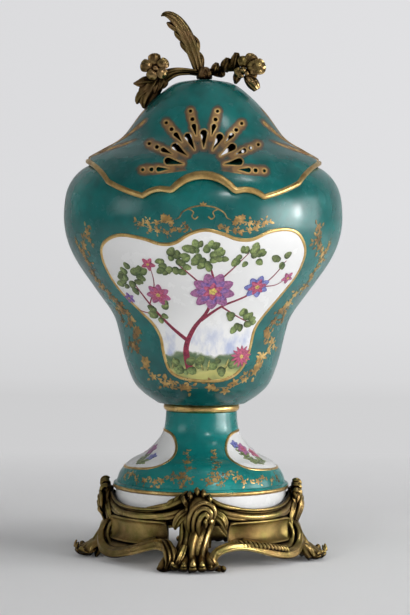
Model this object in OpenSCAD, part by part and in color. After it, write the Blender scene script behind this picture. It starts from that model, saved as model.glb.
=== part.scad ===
// Covered potpourri vase: a porcelain body on a porcelain pedestal, drawn together by a tie rod,
// standing on a scrolled bronze stand, under a pierced lid with a bronze flower spray.
// Millimetres. +Z is up, the origin is on the floor under the vase's axis, and -Y is the front.

/* [Pedestal] */
// Radius of the white band that stands on the ledge
band_r = 60.5; // [50:0.5:70]
// Height of the white band
band_h = 16; // [10:0.5:22]
// Radius of the bead above the band
bead_r = 62.5; // [61.5:0.5:70]
// Height of the bead
bead_h = 5; // [3:0.5:8]
// Radius of the hump above the bead
hump_r = 57; // [50:0.5:59]
// Rise from the bead to the hump
hump_rise = 7.5; // [4:0.5:12]
// Radius half way up the sweep to the neck
sweep_r = 38.5; // [33:0.5:46]
// Rise from the hump to half way up the sweep
sweep_rise = 13.5; // [8:0.5:20]
// Radius of the neck where the sweep ends
neck_r = 27.5; // [22:0.5:32]
// Rise from half way up the sweep to the neck
neck_rise = 13; // [8:0.5:20]
// Radius of the pedestal's top
pedestal_top_r = 25; // [19:0.5:30]
// Length of the neck
neck_h = 16; // [10:0.5:24]
// Wall of the pedestal
pedestal_wall = 5; // [3:0.5:8]
// Thickness of the pedestal's closed top
pedestal_cap_t = 7; // [4:0.5:10]

/* [Collar] */
// Outer radius of the collar between the pedestal and the body
collar_r = 27; // [22:0.5:34]
// Height of the collar
collar_h = 6; // [4:0.5:10]

/* [Body] */
// Radius of the flat underside
base_r = 31.5; // [24:0.5:36]
// Radius of the heel above the underside
heel_r = 42; // [36:0.5:45]
// Rise from the underside to the heel
heel_rise = 7.5; // [5:0.5:10]
// Radius of the bowl above the heel
bowl_r = 49; // [45:0.5:52]
// Rise from the heel to the bowl
bowl_rise = 8.5; // [6:0.5:12]
// Radius of the belly
belly_r = 55; // [52:0.5:57]
// Rise from the bowl to the belly
belly_rise = 17; // [12:0.5:24]
// Radius of the waist above the belly
waist_r = 59; // [57:0.5:61]
// Rise from the belly to the waist
waist_rise = 17; // [12:0.5:24]
// Radius where the flank bends out
bend_r = 63.5; // [61:0.5:68]
// Rise from the waist to the bend
bend_rise = 13; // [9:0.5:18]
// Radius half way up the flank
flank_r = 75.5; // [70:0.5:82]
// Rise from the bend to half way up the flank
flank_rise = 17; // [12:0.5:22]
// How far the upper flank lies inside the shoulder
side_inset = 9; // [5:0.5:12]
// Rise from half way up the flank to the upper flank
side_rise = 21; // [16:0.5:28]
// How far the breast lies inside the shoulder
breast_inset = 2; // [1:0.5:4]
// Rise from the upper flank to the breast
breast_rise = 17; // [12:0.5:22]
// Largest radius, at the shoulder
shoulder_r = 99; // [96:0.5:108]
// Rise from the breast to the shoulder
shoulder_rise = 17; // [12:0.5:22]
// How far the shoulder has come in where it turns
turn_inset = 3.5; // [2.5:0.5:8]
// Rise from the shoulder to where it turns in
turn_rise = 17.5; // [12:0.5:24]
// How far the slope under the lid lies inside the shoulder
slope_inset = 13.5; // [10:0.5:20]
// Rise from the turn to the slope
slope_rise = 12.5; // [8:0.5:16]
// Rise from the slope to the flat rim of the mouth
rim_rise = 7; // [5:0.5:10]
// Radius of the mouth
mouth_r = 64; // [56:0.5:68]
// Width of the flat rim that the lid rests on
seat_w = 5; // [4:0.5:8]
// Wall of the body
body_wall = 5; // [3:0.5:8]

/* [Lid] */
// Gap between the lid's skirt and the shoulder
lid_gap = 0.8; // [0.5:0.1:1.5]
// Thickness of the skirt
skirt_t = 3.2; // [2.5:0.1:5]
// Wall of the dome
dome_wall = 5; // [3.5:0.5:7]
// Half of the lid's width from side to side
side_tip_x = 81.5; // [77:0.5:85]
// Radius of the arcs that trim the lid's two sides
side_arc_r = 160; // [130:5:220]
// Height of the dome's flare above the mouth, at the side tips
flare_h = 1.5; // [0.5:0.5:4]
// Radius of the concave throat of the dome
throat_r = 57.5; // [52:0.5:62]
// Rise from the flare to the throat
throat_rise = 14.5; // [10:0.5:20]
// Radius of the dome's cheek
cheek_r = 44.5; // [40:0.5:48]
// Rise from the throat to the cheek
cheek_rise = 17; // [12:0.5:24]
// Radius of the dome's crown
crown_r = 21.5; // [16:0.5:28]
// Rise from the cheek to the crown
crown_rise = 20.5; // [14:0.5:26]
// Rise from the crown to the top
top_rise = 3.5; // [2:0.5:6]
// Depth of the flange that drops into the mouth
flange_h = 9.5; // [6:0.5:10.5]
// Thickness of the flange
flange_t = 4; // [3:0.5:6]
// Gap between the flange and the mouth
flange_gap = 1; // [0.5:0.1:2]

/* [Scalloped edge] */
// Drop of the edge at the side tips, below the mouth
tip_drop = 5.5; // [4:0.5:8]
// Distance of the hanging points from the middle
point_x = 40.5; // [34:0.5:48]
// Drop of the hanging points
point_drop = 26; // [22:0.5:30]
// Half width of the middle arch
arch_x = 21.5; // [16:0.5:28]
// Drop of the middle arch's feet
arch_drop = 22.5; // [18:0.5:26]
// Rise of the middle arch
arch_rise = 9.5; // [6:0.5:12]
// Rise of the small arches beside it
small_arch_rise = 2.7; // [1:0.1:4]
// Sag of the long sweeps to the side tips
sweep_sag = 2.4; // [0.5:0.1:4]

/* [Pierced fans] */
// Drop of each fan's centre below the mouth
fan_drop = 7; // [5:0.5:9]
// Angle from one ray to the next
ray_step = 13.1; // [11:0.1:13.5]
// Distance from the fan's centre to the inner end of a petal
petal_in = 14; // [12:0.5:16]
// Length of a petal
petal_l = 13; // [9:0.5:14]
// Width of a petal
petal_w = 4.6; // [3:0.1:5]
// Distance from the fan's centre to the inner end of a slot
slot_in = 23.5; // [22:0.5:26]
// Length of a slot
slot_l = 8.5; // [6:0.5:9]
// Width of a slot
slot_w = 3; // [2:0.1:3.6]
// Distance from the end of a slot to the nearer dot's centre
near_dot_gap = 3.2; // [2.4:0.1:4]
// Diameter of the nearer dot
near_dot_d = 2.6; // [1.6:0.1:3]
// Distance between the two dots
dot_pitch = 6; // [4:0.5:8]
// Diameter of the further dot
far_dot_d = 2.2; // [1.4:0.1:3]
// Wall left between a side fan and the lid's side edge
fan_margin = 2; // [1:0.5:4]
// Turn of the back fan from straight behind
back_fan_turn = 3.5; // [0:0.5:5]

/* [Tie rod] */
// Diameter of the rod
rod_d = 6; // [5:0.5:8]
// Play between the rod and what it passes through
rod_play = 1; // [0.4:0.1:2]
// Width of a nut across its flats
nut_w = 10; // [9:0.5:14]
// Height of a nut
nut_h = 5; // [4:0.5:8]
// Diameter of a washer
washer_d = 26; // [18:1:34]
// Thickness of a washer
washer_t = 1.5; // [1:0.1:3]
// Thickness of the leather pad under the upper washer
pad_t = 2; // [1:0.1:4]
// Length of the rod that shows past each nut
rod_end = 2.5; // [1:0.5:5]

/* [Stand] */
// Height of the ledge that carries the pedestal
ledge_z = 34; // [30:0.5:40]
// Thickness of the ledge
ledge_t = 4; // [3:0.5:6]
// Width of the ledge
ledge_w = 14.5; // [10:0.5:20]
// Height of the lugs under the ledge that the legs are screwed to
lug_h = 15; // [12:0.5:18]
// Thickness of a lug
lug_t = 3.5; // [2.5:0.5:5]
// Width of a lug
lug_w = 15; // [11:0.5:18]
// Thickness of the bar under the ledge
bar_t = 5; // [4:0.5:6]
// Width of the bar
bar_w = 16; // [12:0.5:22]
// Gap between pieces of the stand that lie side by side
stand_gap = 0.3; // [0.1:0.05:0.5]

/* [Legs] */
// Distance from the axis to the end of the toe
toe_r = 90; // [84:0.5:98]
// Height of the toe's curl
toe_h = 12.5; // [9:0.5:16]
// Radius of the scroll above the toe
scroll_r = 74; // [71:0.5:78]
// Height of the leg's neck
leg_neck_z = 27.5; // [25:0.5:31]
// Radius of the leg's neck
leg_neck_r = 66; // [65:0.5:69]
// Radius of the leaf above the neck
leaf_r = 70.5; // [68.5:0.5:76]
// Height of the leg
leg_h = 58; // [55:0.5:64]
// Half width of the foot on the floor
foot_half_w = 20; // [14:0.5:24]
// Half width of the leg at its middle
leg_half_w = 10.5; // [8:0.5:12]
// Half width of the leg at its top
leg_top_half_w = 6; // [4:0.5:8]

/* [Rails and panels] */
// Height of a top rail's middle line half way between two legs
rail_low_z = 37.5; // [36.5:0.5:40]
// Rise of a top rail towards the legs
rail_rise = 8; // [4:0.5:10]
// Height of a top rail's section
rail_h = 8; // [6:0.5:9]
// Width of a top rail's section
rail_w = 5; // [3.5:0.5:6]
// Height of the lower edge of a panel
panel_z = 16.5; // [15.5:0.5:19]
// Thickness of a panel
panel_t = 2.5; // [2:0.5:3.5]
// Depth of a panel's hollow
panel_hollow = 3; // [1.5:0.5:3]
// Angle between a panel's end and the leg's middle
panel_end_angle = 21; // [16:0.5:28]
// Height of a lower rail's section
lower_rail_h = 5; // [4:0.5:6]
// Width of a lower rail's section
lower_rail_w = 8; // [6:0.5:9]
// Depth of a lower rail's dip below the toe's curl
lower_rail_drop = 4; // [2:0.5:5]
// Distance from a panel's foot to the nearest stretch of a lower rail's middle line
lower_rail_off = 3.7; // [3.2:0.1:6]

/* [Screws] */
// Diameter of a leg screw
screw_d = 4; // [3:0.5:5]
// Diameter of a leg screw's head
screw_head_d = 7; // [6:0.5:8]
// Height of a leg screw's head
screw_head_h = 2.5; // [2:0.5:4]
// Length of a leg screw in the leg
screw_grip = 4.5; // [3:0.5:5]
// Play around a leg screw
screw_play = 0.2; // [0.1:0.05:0.4]

/* [Flower spray] */
// Radius of the boss on the lid
boss_r = 6; // [5:0.5:8]
// Height of the boss
boss_h = 9; // [7:0.5:12]
// Height of the plume above the boss
plume_h = 39; // [30:1:48]
// Lean of the plume's tip to the left
plume_lean = 31; // [22:1:36]
// Widest width of the plume
plume_w = 13; // [9:0.5:15]
// Thickness of the plume
plume_t = 4; // [3:0.5:6]
// Length of the left branch
left_reach = 32; // [28:1:38]
// Length of the right branch
right_reach = 23; // [19:1:27]
// Diameter of a branch
branch_d = 6; // [5:0.5:7]
// Gap left for the braze between pieces of the spray
braze_gap = 0.1; // [0.05:0.05:0.3]
// Radius of a petal on a flower
flower_petal_r = 4.4; // [3.5:0.1:5]
// Distance of the petals from a flower's centre
flower_ring_r = 6.4; // [5.5:0.1:7.5]
// Length of the left leaf
leaf_l = 25; // [18:1:30]
// Widest width of the left leaf
leaf_w = 20; // [14:0.5:24]
// Diameter of the stud that holds the spray
stud_d = 5; // [4:0.5:6]
// Play between the stud and the lid
stud_play = 0.2; // [0.1:0.05:0.5]
// Diameter of the washer under the lid
lid_washer_d = 14; // [12:0.5:18]

/* [Hidden] */
$fn = 64;

glaze = [0.04, 0.42, 0.38];
gilding = [0.72, 0.52, 0.20];
bronze = [0.45, 0.34, 0.16];
steel = [0.55, 0.55, 0.55];
leather = [0.35, 0.22, 0.13];

curve_steps = 4;
tube_sides = 8;
front = -90;
right = 0;
back = 90;
left = 180;

// Curves: a smooth line through given points, its offset, and a circular arc of known sag
function spline(a, b, c, d, t) = 0.5 * (2 * b + (c - a) * t + (2 * a - 5 * b + 4 * c - d) * t * t
    + (3 * b - a - 3 * c + d) * t * t * t);
function smooth(p, steps = curve_steps) = [
    for (i = [0 : len(p) - 2], k = [0 : steps - 1])
        spline(p[max(i - 1, 0)], p[i], p[i + 1], p[min(i + 2, len(p) - 1)], k / steps),
    p[len(p) - 1]
];
function unit(v) = v / norm(v);
function right_of(v) = unit([v[1], -v[0]]);
function along(p, i) = p[min(i + 1, len(p) - 1)] - p[max(i - 1, 0)];
function beside(p, d) = [for (i = [0 : len(p) - 1]) p[i] + d * right_of(along(p, i))];
function reversed(p) = [for (i = [len(p) - 1 : -1 : 0]) p[i]];
function mirrored(p) = [for (q = p) [-q[0], q[1]]];
function shifted(p, dz) = [for (q = p) [q[0], q[1] + dz]];
function arc(a, b, sag, steps = 8) = let (
    d = b - a,
    l = norm(d),
    r = (l * l / 4 + sag * sag) / (2 * sag),
    up = -right_of(d),
    centre = (a + b) / 2 + (sag - r) * up,
    half = asin(l / 2 / abs(r))
) [
    for (k = [0 : steps])
        let (w = half * (2 * k / steps - 1))
        centre + r * cos(w) * up + abs(r) * sin(w) * d / l
];
function polar(r, a, z) = [r * cos(a), r * sin(a), z];
function height_at(p, r) = lookup(r, [for (q = p) [q[0], q[1]]]);

// Heights of the stack
pedestal_h = band_h + bead_h + hump_rise + sweep_rise + neck_rise + neck_h;
collar_z = ledge_z + pedestal_h;
body_z = collar_z + collar_h;
waist_h = heel_rise + bowl_rise + belly_rise + waist_rise;
flank_h = waist_h + bend_rise + flank_rise;
shoulder_h = flank_h + side_rise + breast_rise + shoulder_rise;
mouth_h = shoulder_h + turn_rise + slope_rise + rim_rise;
mouth_z = body_z + mouth_h;
dome_h = flare_h + throat_rise + cheek_rise + crown_rise + top_rise;
dome_z = mouth_z + dome_h;
rod_hole_r = rod_d / 2 + rod_play;

// Outlines, as [radius, height] from each piece's own underside
pedestal_sweep = smooth([
    [bead_r - bead_h / 2, band_h + bead_h],
    [hump_r, band_h + bead_h + hump_rise],
    [0.6 * hump_r + 0.4 * sweep_r, band_h + bead_h + hump_rise + sweep_rise * 0.55],
    [sweep_r, band_h + bead_h + hump_rise + sweep_rise],
    [neck_r, pedestal_h - neck_h],
    [pedestal_top_r, pedestal_h]
]);
pedestal_outer = concat(
    [[band_r, 0]],
    arc([band_r, band_h], [bead_r - bead_h / 2, band_h + bead_h], -bead_h / 2),
    [for (i = [1 : len(pedestal_sweep) - 1]) pedestal_sweep[i]]
);
pedestal_inner = concat(
    [[band_r - pedestal_wall, 0], [band_r - pedestal_wall, band_h]],
    [
        for (q = beside(pedestal_sweep, -pedestal_wall))
            if (q[1] > band_h + bead_h && q[1] < pedestal_h - pedestal_cap_t) q
    ]
);

body_stations = [
    [base_r, 0],
    [heel_r, heel_rise],
    [bowl_r, heel_rise + bowl_rise],
    [belly_r, waist_h - waist_rise],
    [waist_r, waist_h],
    [bend_r, waist_h + bend_rise],
    [flank_r, flank_h],
    [shoulder_r - side_inset, flank_h + side_rise],
    [shoulder_r - breast_inset, shoulder_h - shoulder_rise],
    [shoulder_r, shoulder_h],
    [shoulder_r - turn_inset, shoulder_h + turn_rise],
    [shoulder_r - slope_inset, shoulder_h + turn_rise + slope_rise],
    [mouth_r + seat_w, mouth_h]
];
shoulder_station = 9;
body_outer = smooth(body_stations);
body_inner = beside(body_outer, -body_wall);
body_floor_h = body_inner[0][1];
shoulder_curve = [for (i = [shoulder_station * curve_steps : len(body_outer) - 1]) body_outer[i]];

// The lid's outlines are measured from the mouth
flange_out_r = mouth_r - flange_gap;
flange_in_r = flange_out_r - flange_t;
skirt_inner = shifted(beside(shoulder_curve, lid_gap), -mouth_h);
skirt_outer = shifted(beside(shoulder_curve, lid_gap + skirt_t), -mouth_h);
slope_index = 2 * curve_steps;
dome_stations = [
    [0, dome_h],
    [crown_r / 2, dome_h - top_rise / 4],
    [crown_r, dome_h - top_rise],
    [(crown_r + cheek_r) / 2, dome_h - top_rise - crown_rise * 0.42],
    [cheek_r, flare_h + throat_rise + cheek_rise],
    [throat_r, flare_h + throat_rise],
    [0.42 * throat_r + 0.58 * side_tip_x, flare_h + throat_rise * 0.4],
    [side_tip_x, flare_h]
];
lid_outer = concat(smooth(concat(dome_stations, [skirt_outer[slope_index]])),
    [for (i = [slope_index - 1 : -1 : 0]) skirt_outer[i]]);
dome_inner = [
    for (q = beside(smooth(dome_stations), dome_wall))
        if (q[0] < flange_in_r && q[0] > stud_d / 2 + stud_play) q
];
dome_inner_h = height_at(dome_inner, lid_washer_d / 2);

left_edge = concat(
    arc([-side_tip_x, -tip_drop], [-point_x, -point_drop], -sweep_sag),
    arc([-point_x, -point_drop], [-arch_x, -arch_drop], small_arch_rise),
    arc([-arch_x, -arch_drop], [0, arch_rise - arch_drop], arch_rise / 4)
);
edge_curve = concat(left_edge, reversed(mirrored(left_edge)));

// Places in the stand
ring_out_r = band_r;
lug_in_r = ring_out_r - lug_t;
ledge_under_z = ledge_z - ledge_t;
bar_z = ledge_under_z - bar_t;
screw_z = ledge_under_z - lug_h / 2;
leg_in_r = ring_out_r + stand_gap;
leg_upper_in_r = bead_r + stand_gap;
rail_r = leg_in_r + rail_w / 2;
panel_top_z = rail_low_z - rail_h / 2 - stand_gap;
panel_foot_r = leg_in_r + panel_hollow;
lower_rail_r = panel_foot_r + panel_t + lower_rail_off;

module turned(outline) {
    rotate_extrude() polygon(outline);
}

// A closed skin over rings of points that follow each other along a path
module skin(rings) {
    n = len(rings[0]);
    last = (len(rings) - 1) * n;
    sides = [
        for (i = [0 : len(rings) - 2], j = [0 : n - 1])
            let (a = i * n + j, b = i * n + (j + 1) % n)
            each [[a, b, b + n], [a, b + n, a + n]]
    ];
    ends = [for (j = [1 : n - 2]) each [[0, j + 1, j], [last, last + j, last + j + 1]]];
    polyhedron([for (r = rings) each r], concat(sides, ends));
}

function ring(p, t, up, half_w, half_h) = let (s = unit(cross(t, up)), u = unit(cross(s, t))) [
    for (j = [0 : tube_sides - 1])
        let (w = 360 * (j + 0.5) / tube_sides)
        p + half_w * cos(w) * s + half_h * sin(w) * u
];
module tube(path, half_w, half_h, up) {
    skin([for (i = [0 : len(path) - 1]) ring(path[i], along(path, i), up, half_w[i], half_h[i])]);
}

// Porcelain
module vase_body() {
    color(glaze) translate([0, 0, body_z]) turned(concat(
        [[rod_hole_r, 0]], body_outer, [[mouth_r, mouth_h], [mouth_r, mouth_h - body_wall]],
        [for (q = reversed(body_inner)) if (q[0] > mouth_r || q[1] < shoulder_h) q],
        [[rod_hole_r, body_floor_h]]
    ));
}

module pedestal_foot() {
    color(glaze) translate([0, 0, ledge_z]) turned(concat(
        pedestal_outer,
        [[rod_hole_r, pedestal_h], [rod_hole_r, pedestal_h - pedestal_cap_t]],
        [[pedestal_inner[len(pedestal_inner) - 1][0], pedestal_h - pedestal_cap_t]],
        reversed(pedestal_inner)
    ));
}

module neck_collar() {
    color(gilding) translate([0, 0, collar_z]) turned(concat(
        [[rod_hole_r, 0]],
        arc([collar_r - collar_h / 2, 0], [collar_r - collar_h / 2, collar_h], -collar_h / 2 + 0.01),
        [[rod_hole_r, collar_h]]
    ));
}

module teardrop(inner, length, width) {
    tip_y = inner + length - width / 2;
    polygon(concat([[0, inner]], arc([width / 2, tip_y], [-width / 2, tip_y], -width / 2 + 0.01)));
}

module fan_outline() {
    slot_end = slot_in + slot_l;
    for (k = [-3 : 3]) rotate(2 * k * ray_step) teardrop(petal_in, petal_l, petal_w);
    for (k = [-4 : 3]) rotate((2 * k + 1) * ray_step) {
        teardrop(slot_in, slot_l, slot_w);
        translate([0, slot_end + near_dot_gap]) circle(d = near_dot_d, $fn = 24);
        translate([0, slot_end + near_dot_gap + dot_pitch]) circle(d = far_dot_d, $fn = 24);
    }
}

module fan_holes() {
    reach = shoulder_r + lid_gap + skirt_t;
    difference() {
        for (a = [0, 90, 180 + back_fan_turn, 270]) rotate(a) translate([0, -crown_r, -fan_drop])
            rotate([90, 0, 0]) linear_extrude(reach) fan_outline();
        translate([0, 0, -reach]) cylinder(r = mouth_r + seat_w / 2, h = reach + flare_h);
        for (s = [-1, 1]) translate([s * side_tip_x, 0, flare_h + fan_margin - reach / 2])
            cube([side_tip_x / 2, 2 * side_tip_x, reach], center = true);
    }
}

module side_trim() {
    intersection_for (s = [-1, 1]) translate([s * (side_arc_r - side_tip_x), 0, -mouth_h])
        cylinder(r = side_arc_r, h = mouth_h + dome_h + 1, $fn = 128);
}

module edge_cut() {
    below = mouth_h / 2;
    rotate([90, 0, 0]) linear_extrude(4 * side_tip_x, center = true)
        polygon(concat([[-2 * side_tip_x, -below], [-2 * side_tip_x, -tip_drop]], edge_curve,
            [[2 * side_tip_x, -tip_drop], [2 * side_tip_x, -below]]));
}

module lid() {
    color(glaze) translate([0, 0, mouth_z]) difference() {
        intersection() {
            turned(concat(
                [[stud_d / 2 + stud_play, dome_inner[0][1]], [stud_d / 2 + stud_play, dome_h]],
                [for (i = [1 : len(lid_outer) - 1]) lid_outer[i]],
                skirt_inner,
                [[mouth_r + seat_w, 0], [flange_out_r, 0], [flange_out_r, -flange_h]],
                [[flange_in_r, -flange_h], [flange_in_r, dome_inner[len(dome_inner) - 1][1]]],
                reversed(dome_inner)
            ));
            side_trim();
        }
        edge_cut();
        fan_holes();
    }
}

// Tie rod with its nuts, washers and pad
rod_top_z = body_z + body_floor_h + pad_t + washer_t + nut_h + rod_end;
rod_bottom_z = bar_z - washer_t - nut_h - rod_end;

module tie_rod() {
    color(steel) translate([0, 0, rod_bottom_z]) cylinder(d = rod_d, h = rod_top_z - rod_bottom_z);
}

module disc(outer_d, hole_r, h) {
    difference() {
        cylinder(d = outer_d, h = h);
        translate([0, 0, -1]) cylinder(r = hole_r, h = h + 2);
    }
}

module nut(z, bolt_d) {
    color(steel) translate([0, 0, z]) difference() {
        cylinder(d = nut_w / cos(30), h = nut_h, $fn = 6);
        translate([0, 0, -1]) cylinder(d = bolt_d + 0.1, h = nut_h + 2);
    }
}

module rod_pad() {
    color(leather) translate([0, 0, body_z + body_floor_h]) disc(washer_d, rod_hole_r, pad_t);
}

module rod_upper_washer() {
    color(steel) translate([0, 0, body_z + body_floor_h + pad_t]) disc(washer_d, rod_hole_r, washer_t);
}

module rod_lower_washer() {
    color(steel) translate([0, 0, bar_z - washer_t]) disc(washer_d, rod_hole_r, washer_t);
}

// Bronze stand
module leg_bores(play) {
    for (a = [front, right, back, left]) rotate(a) translate([lug_in_r - 1, 0, screw_z]) rotate([0, 90, 0])
        cylinder(d = screw_d + 2 * play, h = 1 + lug_t + stand_gap + screw_grip + play, $fn = 32);
}

module seat_ring() {
    under = lug_h + 1;
    color(bronze) difference() {
        union() {
            translate([0, 0, ledge_under_z]) disc(2 * ring_out_r, ring_out_r - ledge_w, ledge_t);
            intersection() {
                translate([0, 0, ledge_under_z - lug_h]) disc(2 * ring_out_r, lug_in_r, under);
                for (a = [0, 90]) rotate(a)
                    translate([-bead_r, -lug_w / 2, ledge_under_z - lug_h]) cube([2 * bead_r, lug_w, under]);
            }
        }
        leg_bores(screw_play);
    }
}

module cross_bar() {
    half = lug_in_r - stand_gap;
    color(bronze) translate([0, 0, bar_z]) rotate(45) difference() {
        intersection() {
            translate([-half, -bar_w / 2, 0]) cube([2 * half, bar_w, bar_t]);
            cylinder(r = half, h = bar_t);
        }
        translate([0, 0, -1]) cylinder(r = rod_hole_r, h = bar_t + 2);
    }
}

module leg_screws() {
    head_r = lug_in_r - stand_gap;
    shank = stand_gap + lug_t + stand_gap + screw_grip;
    color(steel) for (a = [front, right, back, left])
        rotate(a) translate([head_r, 0, screw_z]) rotate([0, 90, 0]) {
            cylinder(d = screw_d, h = shank, $fn = 32);
            translate([0, 0, -screw_head_h]) cylinder(d = screw_head_d, h = screw_head_h, $fn = 32);
        }
}

module leg_side_outline() {
    scroll_z = (toe_h + leg_neck_z) / 2;
    curl_z = leg_h - 4;
    curl_r = leaf_r - 0.5;
    back_r = leg_in_r + 4;
    polygon(concat(
        [[back_r, 0]],
        smooth([
            [toe_r - 5, 0], [toe_r, toe_h / 2], [toe_r - 3, toe_h], [(toe_r + scroll_r) / 2, toe_h - 1.5],
            [scroll_r, scroll_z - 3], [leg_neck_r + 3, leg_neck_z - 3], [leg_neck_r, leg_neck_z + 2],
            [leaf_r, (leg_neck_z + leg_h) / 2], [leaf_r - 1.5, curl_z - 5], [curl_r, curl_z],
            [curl_r - 3.5, leg_h], [leg_upper_in_r, curl_z - 2]
        ], 4),
        [[leg_upper_in_r, ledge_z], [leg_in_r, ledge_z], [leg_in_r, panel_z], [back_r, panel_z / 2]]
    ));
}

module leg_front_outline(gap) {
    foot = foot_half_w + gap;
    waist = leg_half_w + gap;
    top = leg_top_half_w + gap;
    half = smooth([
        [foot, 0], [foot - 1, toe_h / 3], [waist + 2, toe_h], [waist, leg_neck_z - 3],
        [waist, ledge_z], [top + 2, (ledge_z + leg_h) / 2], [top, leg_h + 1]
    ], 4);
    polygon(concat(half, reversed(mirrored(half))));
}

// The space that the legs need between the rails
module leg_clearance() {
    for (a = [front, right, back, left]) rotate(a) rotate([90, 0, 90])
        linear_extrude(2 * toe_r) leg_front_outline(stand_gap);
}

module leg(a) {
    color(bronze) difference() {
        rotate(a) intersection() {
            rotate([90, 0, 0]) linear_extrude(3 * foot_half_w, center = true) leg_side_outline();
            rotate([90, 0, 90]) linear_extrude(2 * toe_r) leg_front_outline(0);
        }
        leg_bores(screw_play);
    }
}

// The four sides lie between the legs, at the diagonals
module panel(a) {
    span = 90 - 2 * panel_end_angle;
    outer = arc([panel_foot_r + panel_t, panel_z], [panel_foot_r + panel_t, panel_top_z], panel_hollow, 10);
    inner = [for (q = reversed(outer)) [q[0] - panel_t, q[1]]];
    color(bronze) rotate(a - span / 2) rotate_extrude(angle = span) polygon(concat(outer, inner));
}

rail_shares = [for (k = [-8 : 8]) k / 8];
rail_half_span = 42;

module rail(path, half_w, half_h) {
    color(bronze) difference() {
        tube(path, [for (s = rail_shares) half_w], [for (s = rail_shares) half_h], [0, 0, 1]);
        leg_clearance();
    }
}

module top_rail(a) {
    rail([
        for (s = rail_shares)
            polar(rail_r, a + s * rail_half_span, rail_low_z + rail_rise * pow(abs(s), 2.5))
    ], rail_w / 2, rail_h / 2);
}

// A lower rail's course from a side leg's neck to the floor beside the front leg, which is at angle 0
function lower_course() = smooth([
    [scroll_r - 8, 78, leg_neck_z],
    [scroll_r - 3, 79.5, leg_neck_z - 4],
    [scroll_r - 0.5, 78, (leg_neck_z + toe_h) / 2],
    [scroll_r, 74, toe_h],
    [lower_rail_r + 3, 67, toe_h - lower_rail_drop],
    [lower_rail_r + 1.5, 57, toe_h - lower_rail_drop],
    [lower_rail_r, 47, toe_h - 2],
    [lower_rail_r, 36, panel_z - 3],
    [lower_rail_r + 1, 27, panel_z],
    [lower_rail_r + 2.5, 21, panel_z - 1],
    [lower_rail_r + 4, 17.5, panel_z / 2 + 2],
    [lower_rail_r + 5, 16.5, lower_rail_h / 2]
], 2);

module lower_rail(turn, flip) {
    path = [for (q = lower_course()) [q[0] * sin(q[1]), -q[0] * cos(q[1]), q[2]]];
    outward = [for (q = path) unit([q[0], q[1], 0.75 * norm([q[0], q[1]])])];
    color(bronze) rotate(turn) mirror([flip, 0, 0]) difference() {
        skin([
            for (i = [0 : len(path) - 1])
                ring(path[i], along(path, i), outward[i], lower_rail_w / 2, lower_rail_h / 2)
        ]);
        leg_clearance();
        translate([0, 0, -lower_rail_w]) cylinder(r = 2 * toe_r, h = lower_rail_w);
    }
}

// Bronze flower spray on the lid
spray_z = dome_z;
branch_z = spray_z + boss_h / 2;
facing = [0, -1, 0];

function boss_outline(gap) = concat([[0, 0]], smooth([
    [boss_r + gap, 0], [boss_r + gap, boss_h / 3], [boss_r * 0.75 + gap, boss_h * 0.75], [0, boss_h + gap]
]));

module spray_boss() {
    color(bronze) translate([0, 0, spray_z]) difference() {
        turned(boss_outline(0));
        translate([0, 0, -1]) cylinder(d = stud_d + 0.1, h = 1 + boss_h / 2);
    }
}

module spray_plume() {
    shares = [0, 0.15, 0.35, 0.55, 0.72, 0.86, 0.95, 1];
    widths = [0.55, 0.8, 1, 1, 0.9, 0.65, 0.4, 0.12];
    root = [-boss_r * 0.5, 0, spray_z + boss_h * 0.6];
    lean = plume_lean - boss_r * 0.5;
    rise = plume_h + boss_h * 0.4;
    path = [
        for (s = shares)
            root + [-lean * (0.25 * s + 0.75 * s * s), 0, rise * (0.8 * sin(90 * s) + 0.2 * s)]
    ];
    color(bronze) difference() {
        tube(path, plume_w / 2 * widths, [for (w = widths) plume_t / 2 * max(w, 0.4)], facing);
        spray_clearance();
        left_branch_solid(braze_gap);
        right_branch_solid(braze_gap);
    }
}

// The space that the boss needs among the pieces brazed to it
module spray_clearance() {
    translate([0, 0, spray_z]) turned(boss_outline(braze_gap));
}

function left_path() = [
    [-boss_r * 0.5, 0, branch_z], [-left_reach * 0.4, 0, branch_z + 1],
    [-left_reach * 0.75, -1, branch_z + 1], [-left_reach, -2, branch_z - 2],
    [-left_reach - 5, -2, branch_z - 8]
];
module left_branch_solid(extra) {
    r = [for (k = [0.8, 0.85, 1, 1.2, 0.7]) k * branch_d / 2 + extra];
    tube(left_path(), r, r, facing);
}

module spray_left_branch() {
    color(bronze) difference() {
        left_branch_solid(0);
        spray_clearance();
    }
}

module blossom(centre, aim, turn) {
    translate(centre) rotate(aim) rotate(turn) {
        sphere(flower_petal_r * 0.8, $fn = 32);
        for (k = [0 : 4]) rotate(72 * k) translate([flower_ring_r, 0, flower_petal_r * 0.25])
            sphere(flower_petal_r, $fn = 32);
    }
}

left_flower_at = [-left_reach - 4.5, -3.5, branch_z + 2.5];
left_aim = [65, 0, -25];
module spray_left_flower() {
    color(bronze) difference() {
        blossom(left_flower_at, left_aim, 18);
        left_branch_solid(braze_gap);
    }
}

module spray_left_leaf() {
    widths = [0.35, 0.8, 1, 0.75, 0.2];
    root = left_path()[4] + [-1.5, 0, -1];
    path = [for (k = [0 : 4]) root + k / 4 * leaf_l * [-0.35, -0.1, -0.75]];
    color(bronze) difference() {
        tube(path, leaf_w / 2 * widths, [for (w = widths) 1.6], facing);
        left_branch_solid(braze_gap);
        blossom(left_flower_at, left_aim, 18);
        lid_clearance();
    }
}

// The dome with room to spare, for what hangs beside it
module lid_clearance() {
    translate([0, 0, mouth_z]) turned(concat([[0, 0]], beside(smooth(dome_stations), -stand_gap)));
}

function right_path() = [
    [boss_r * 0.5, 0, branch_z], [right_reach * 0.45, 0, branch_z + 2], [right_reach, -2, branch_z + 4]
];
module right_branch_solid(extra) {
    r = [for (k = [0.8, 0.9, 1]) k * branch_d / 2 + extra];
    tube(right_path(), r, r, facing);
}

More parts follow.
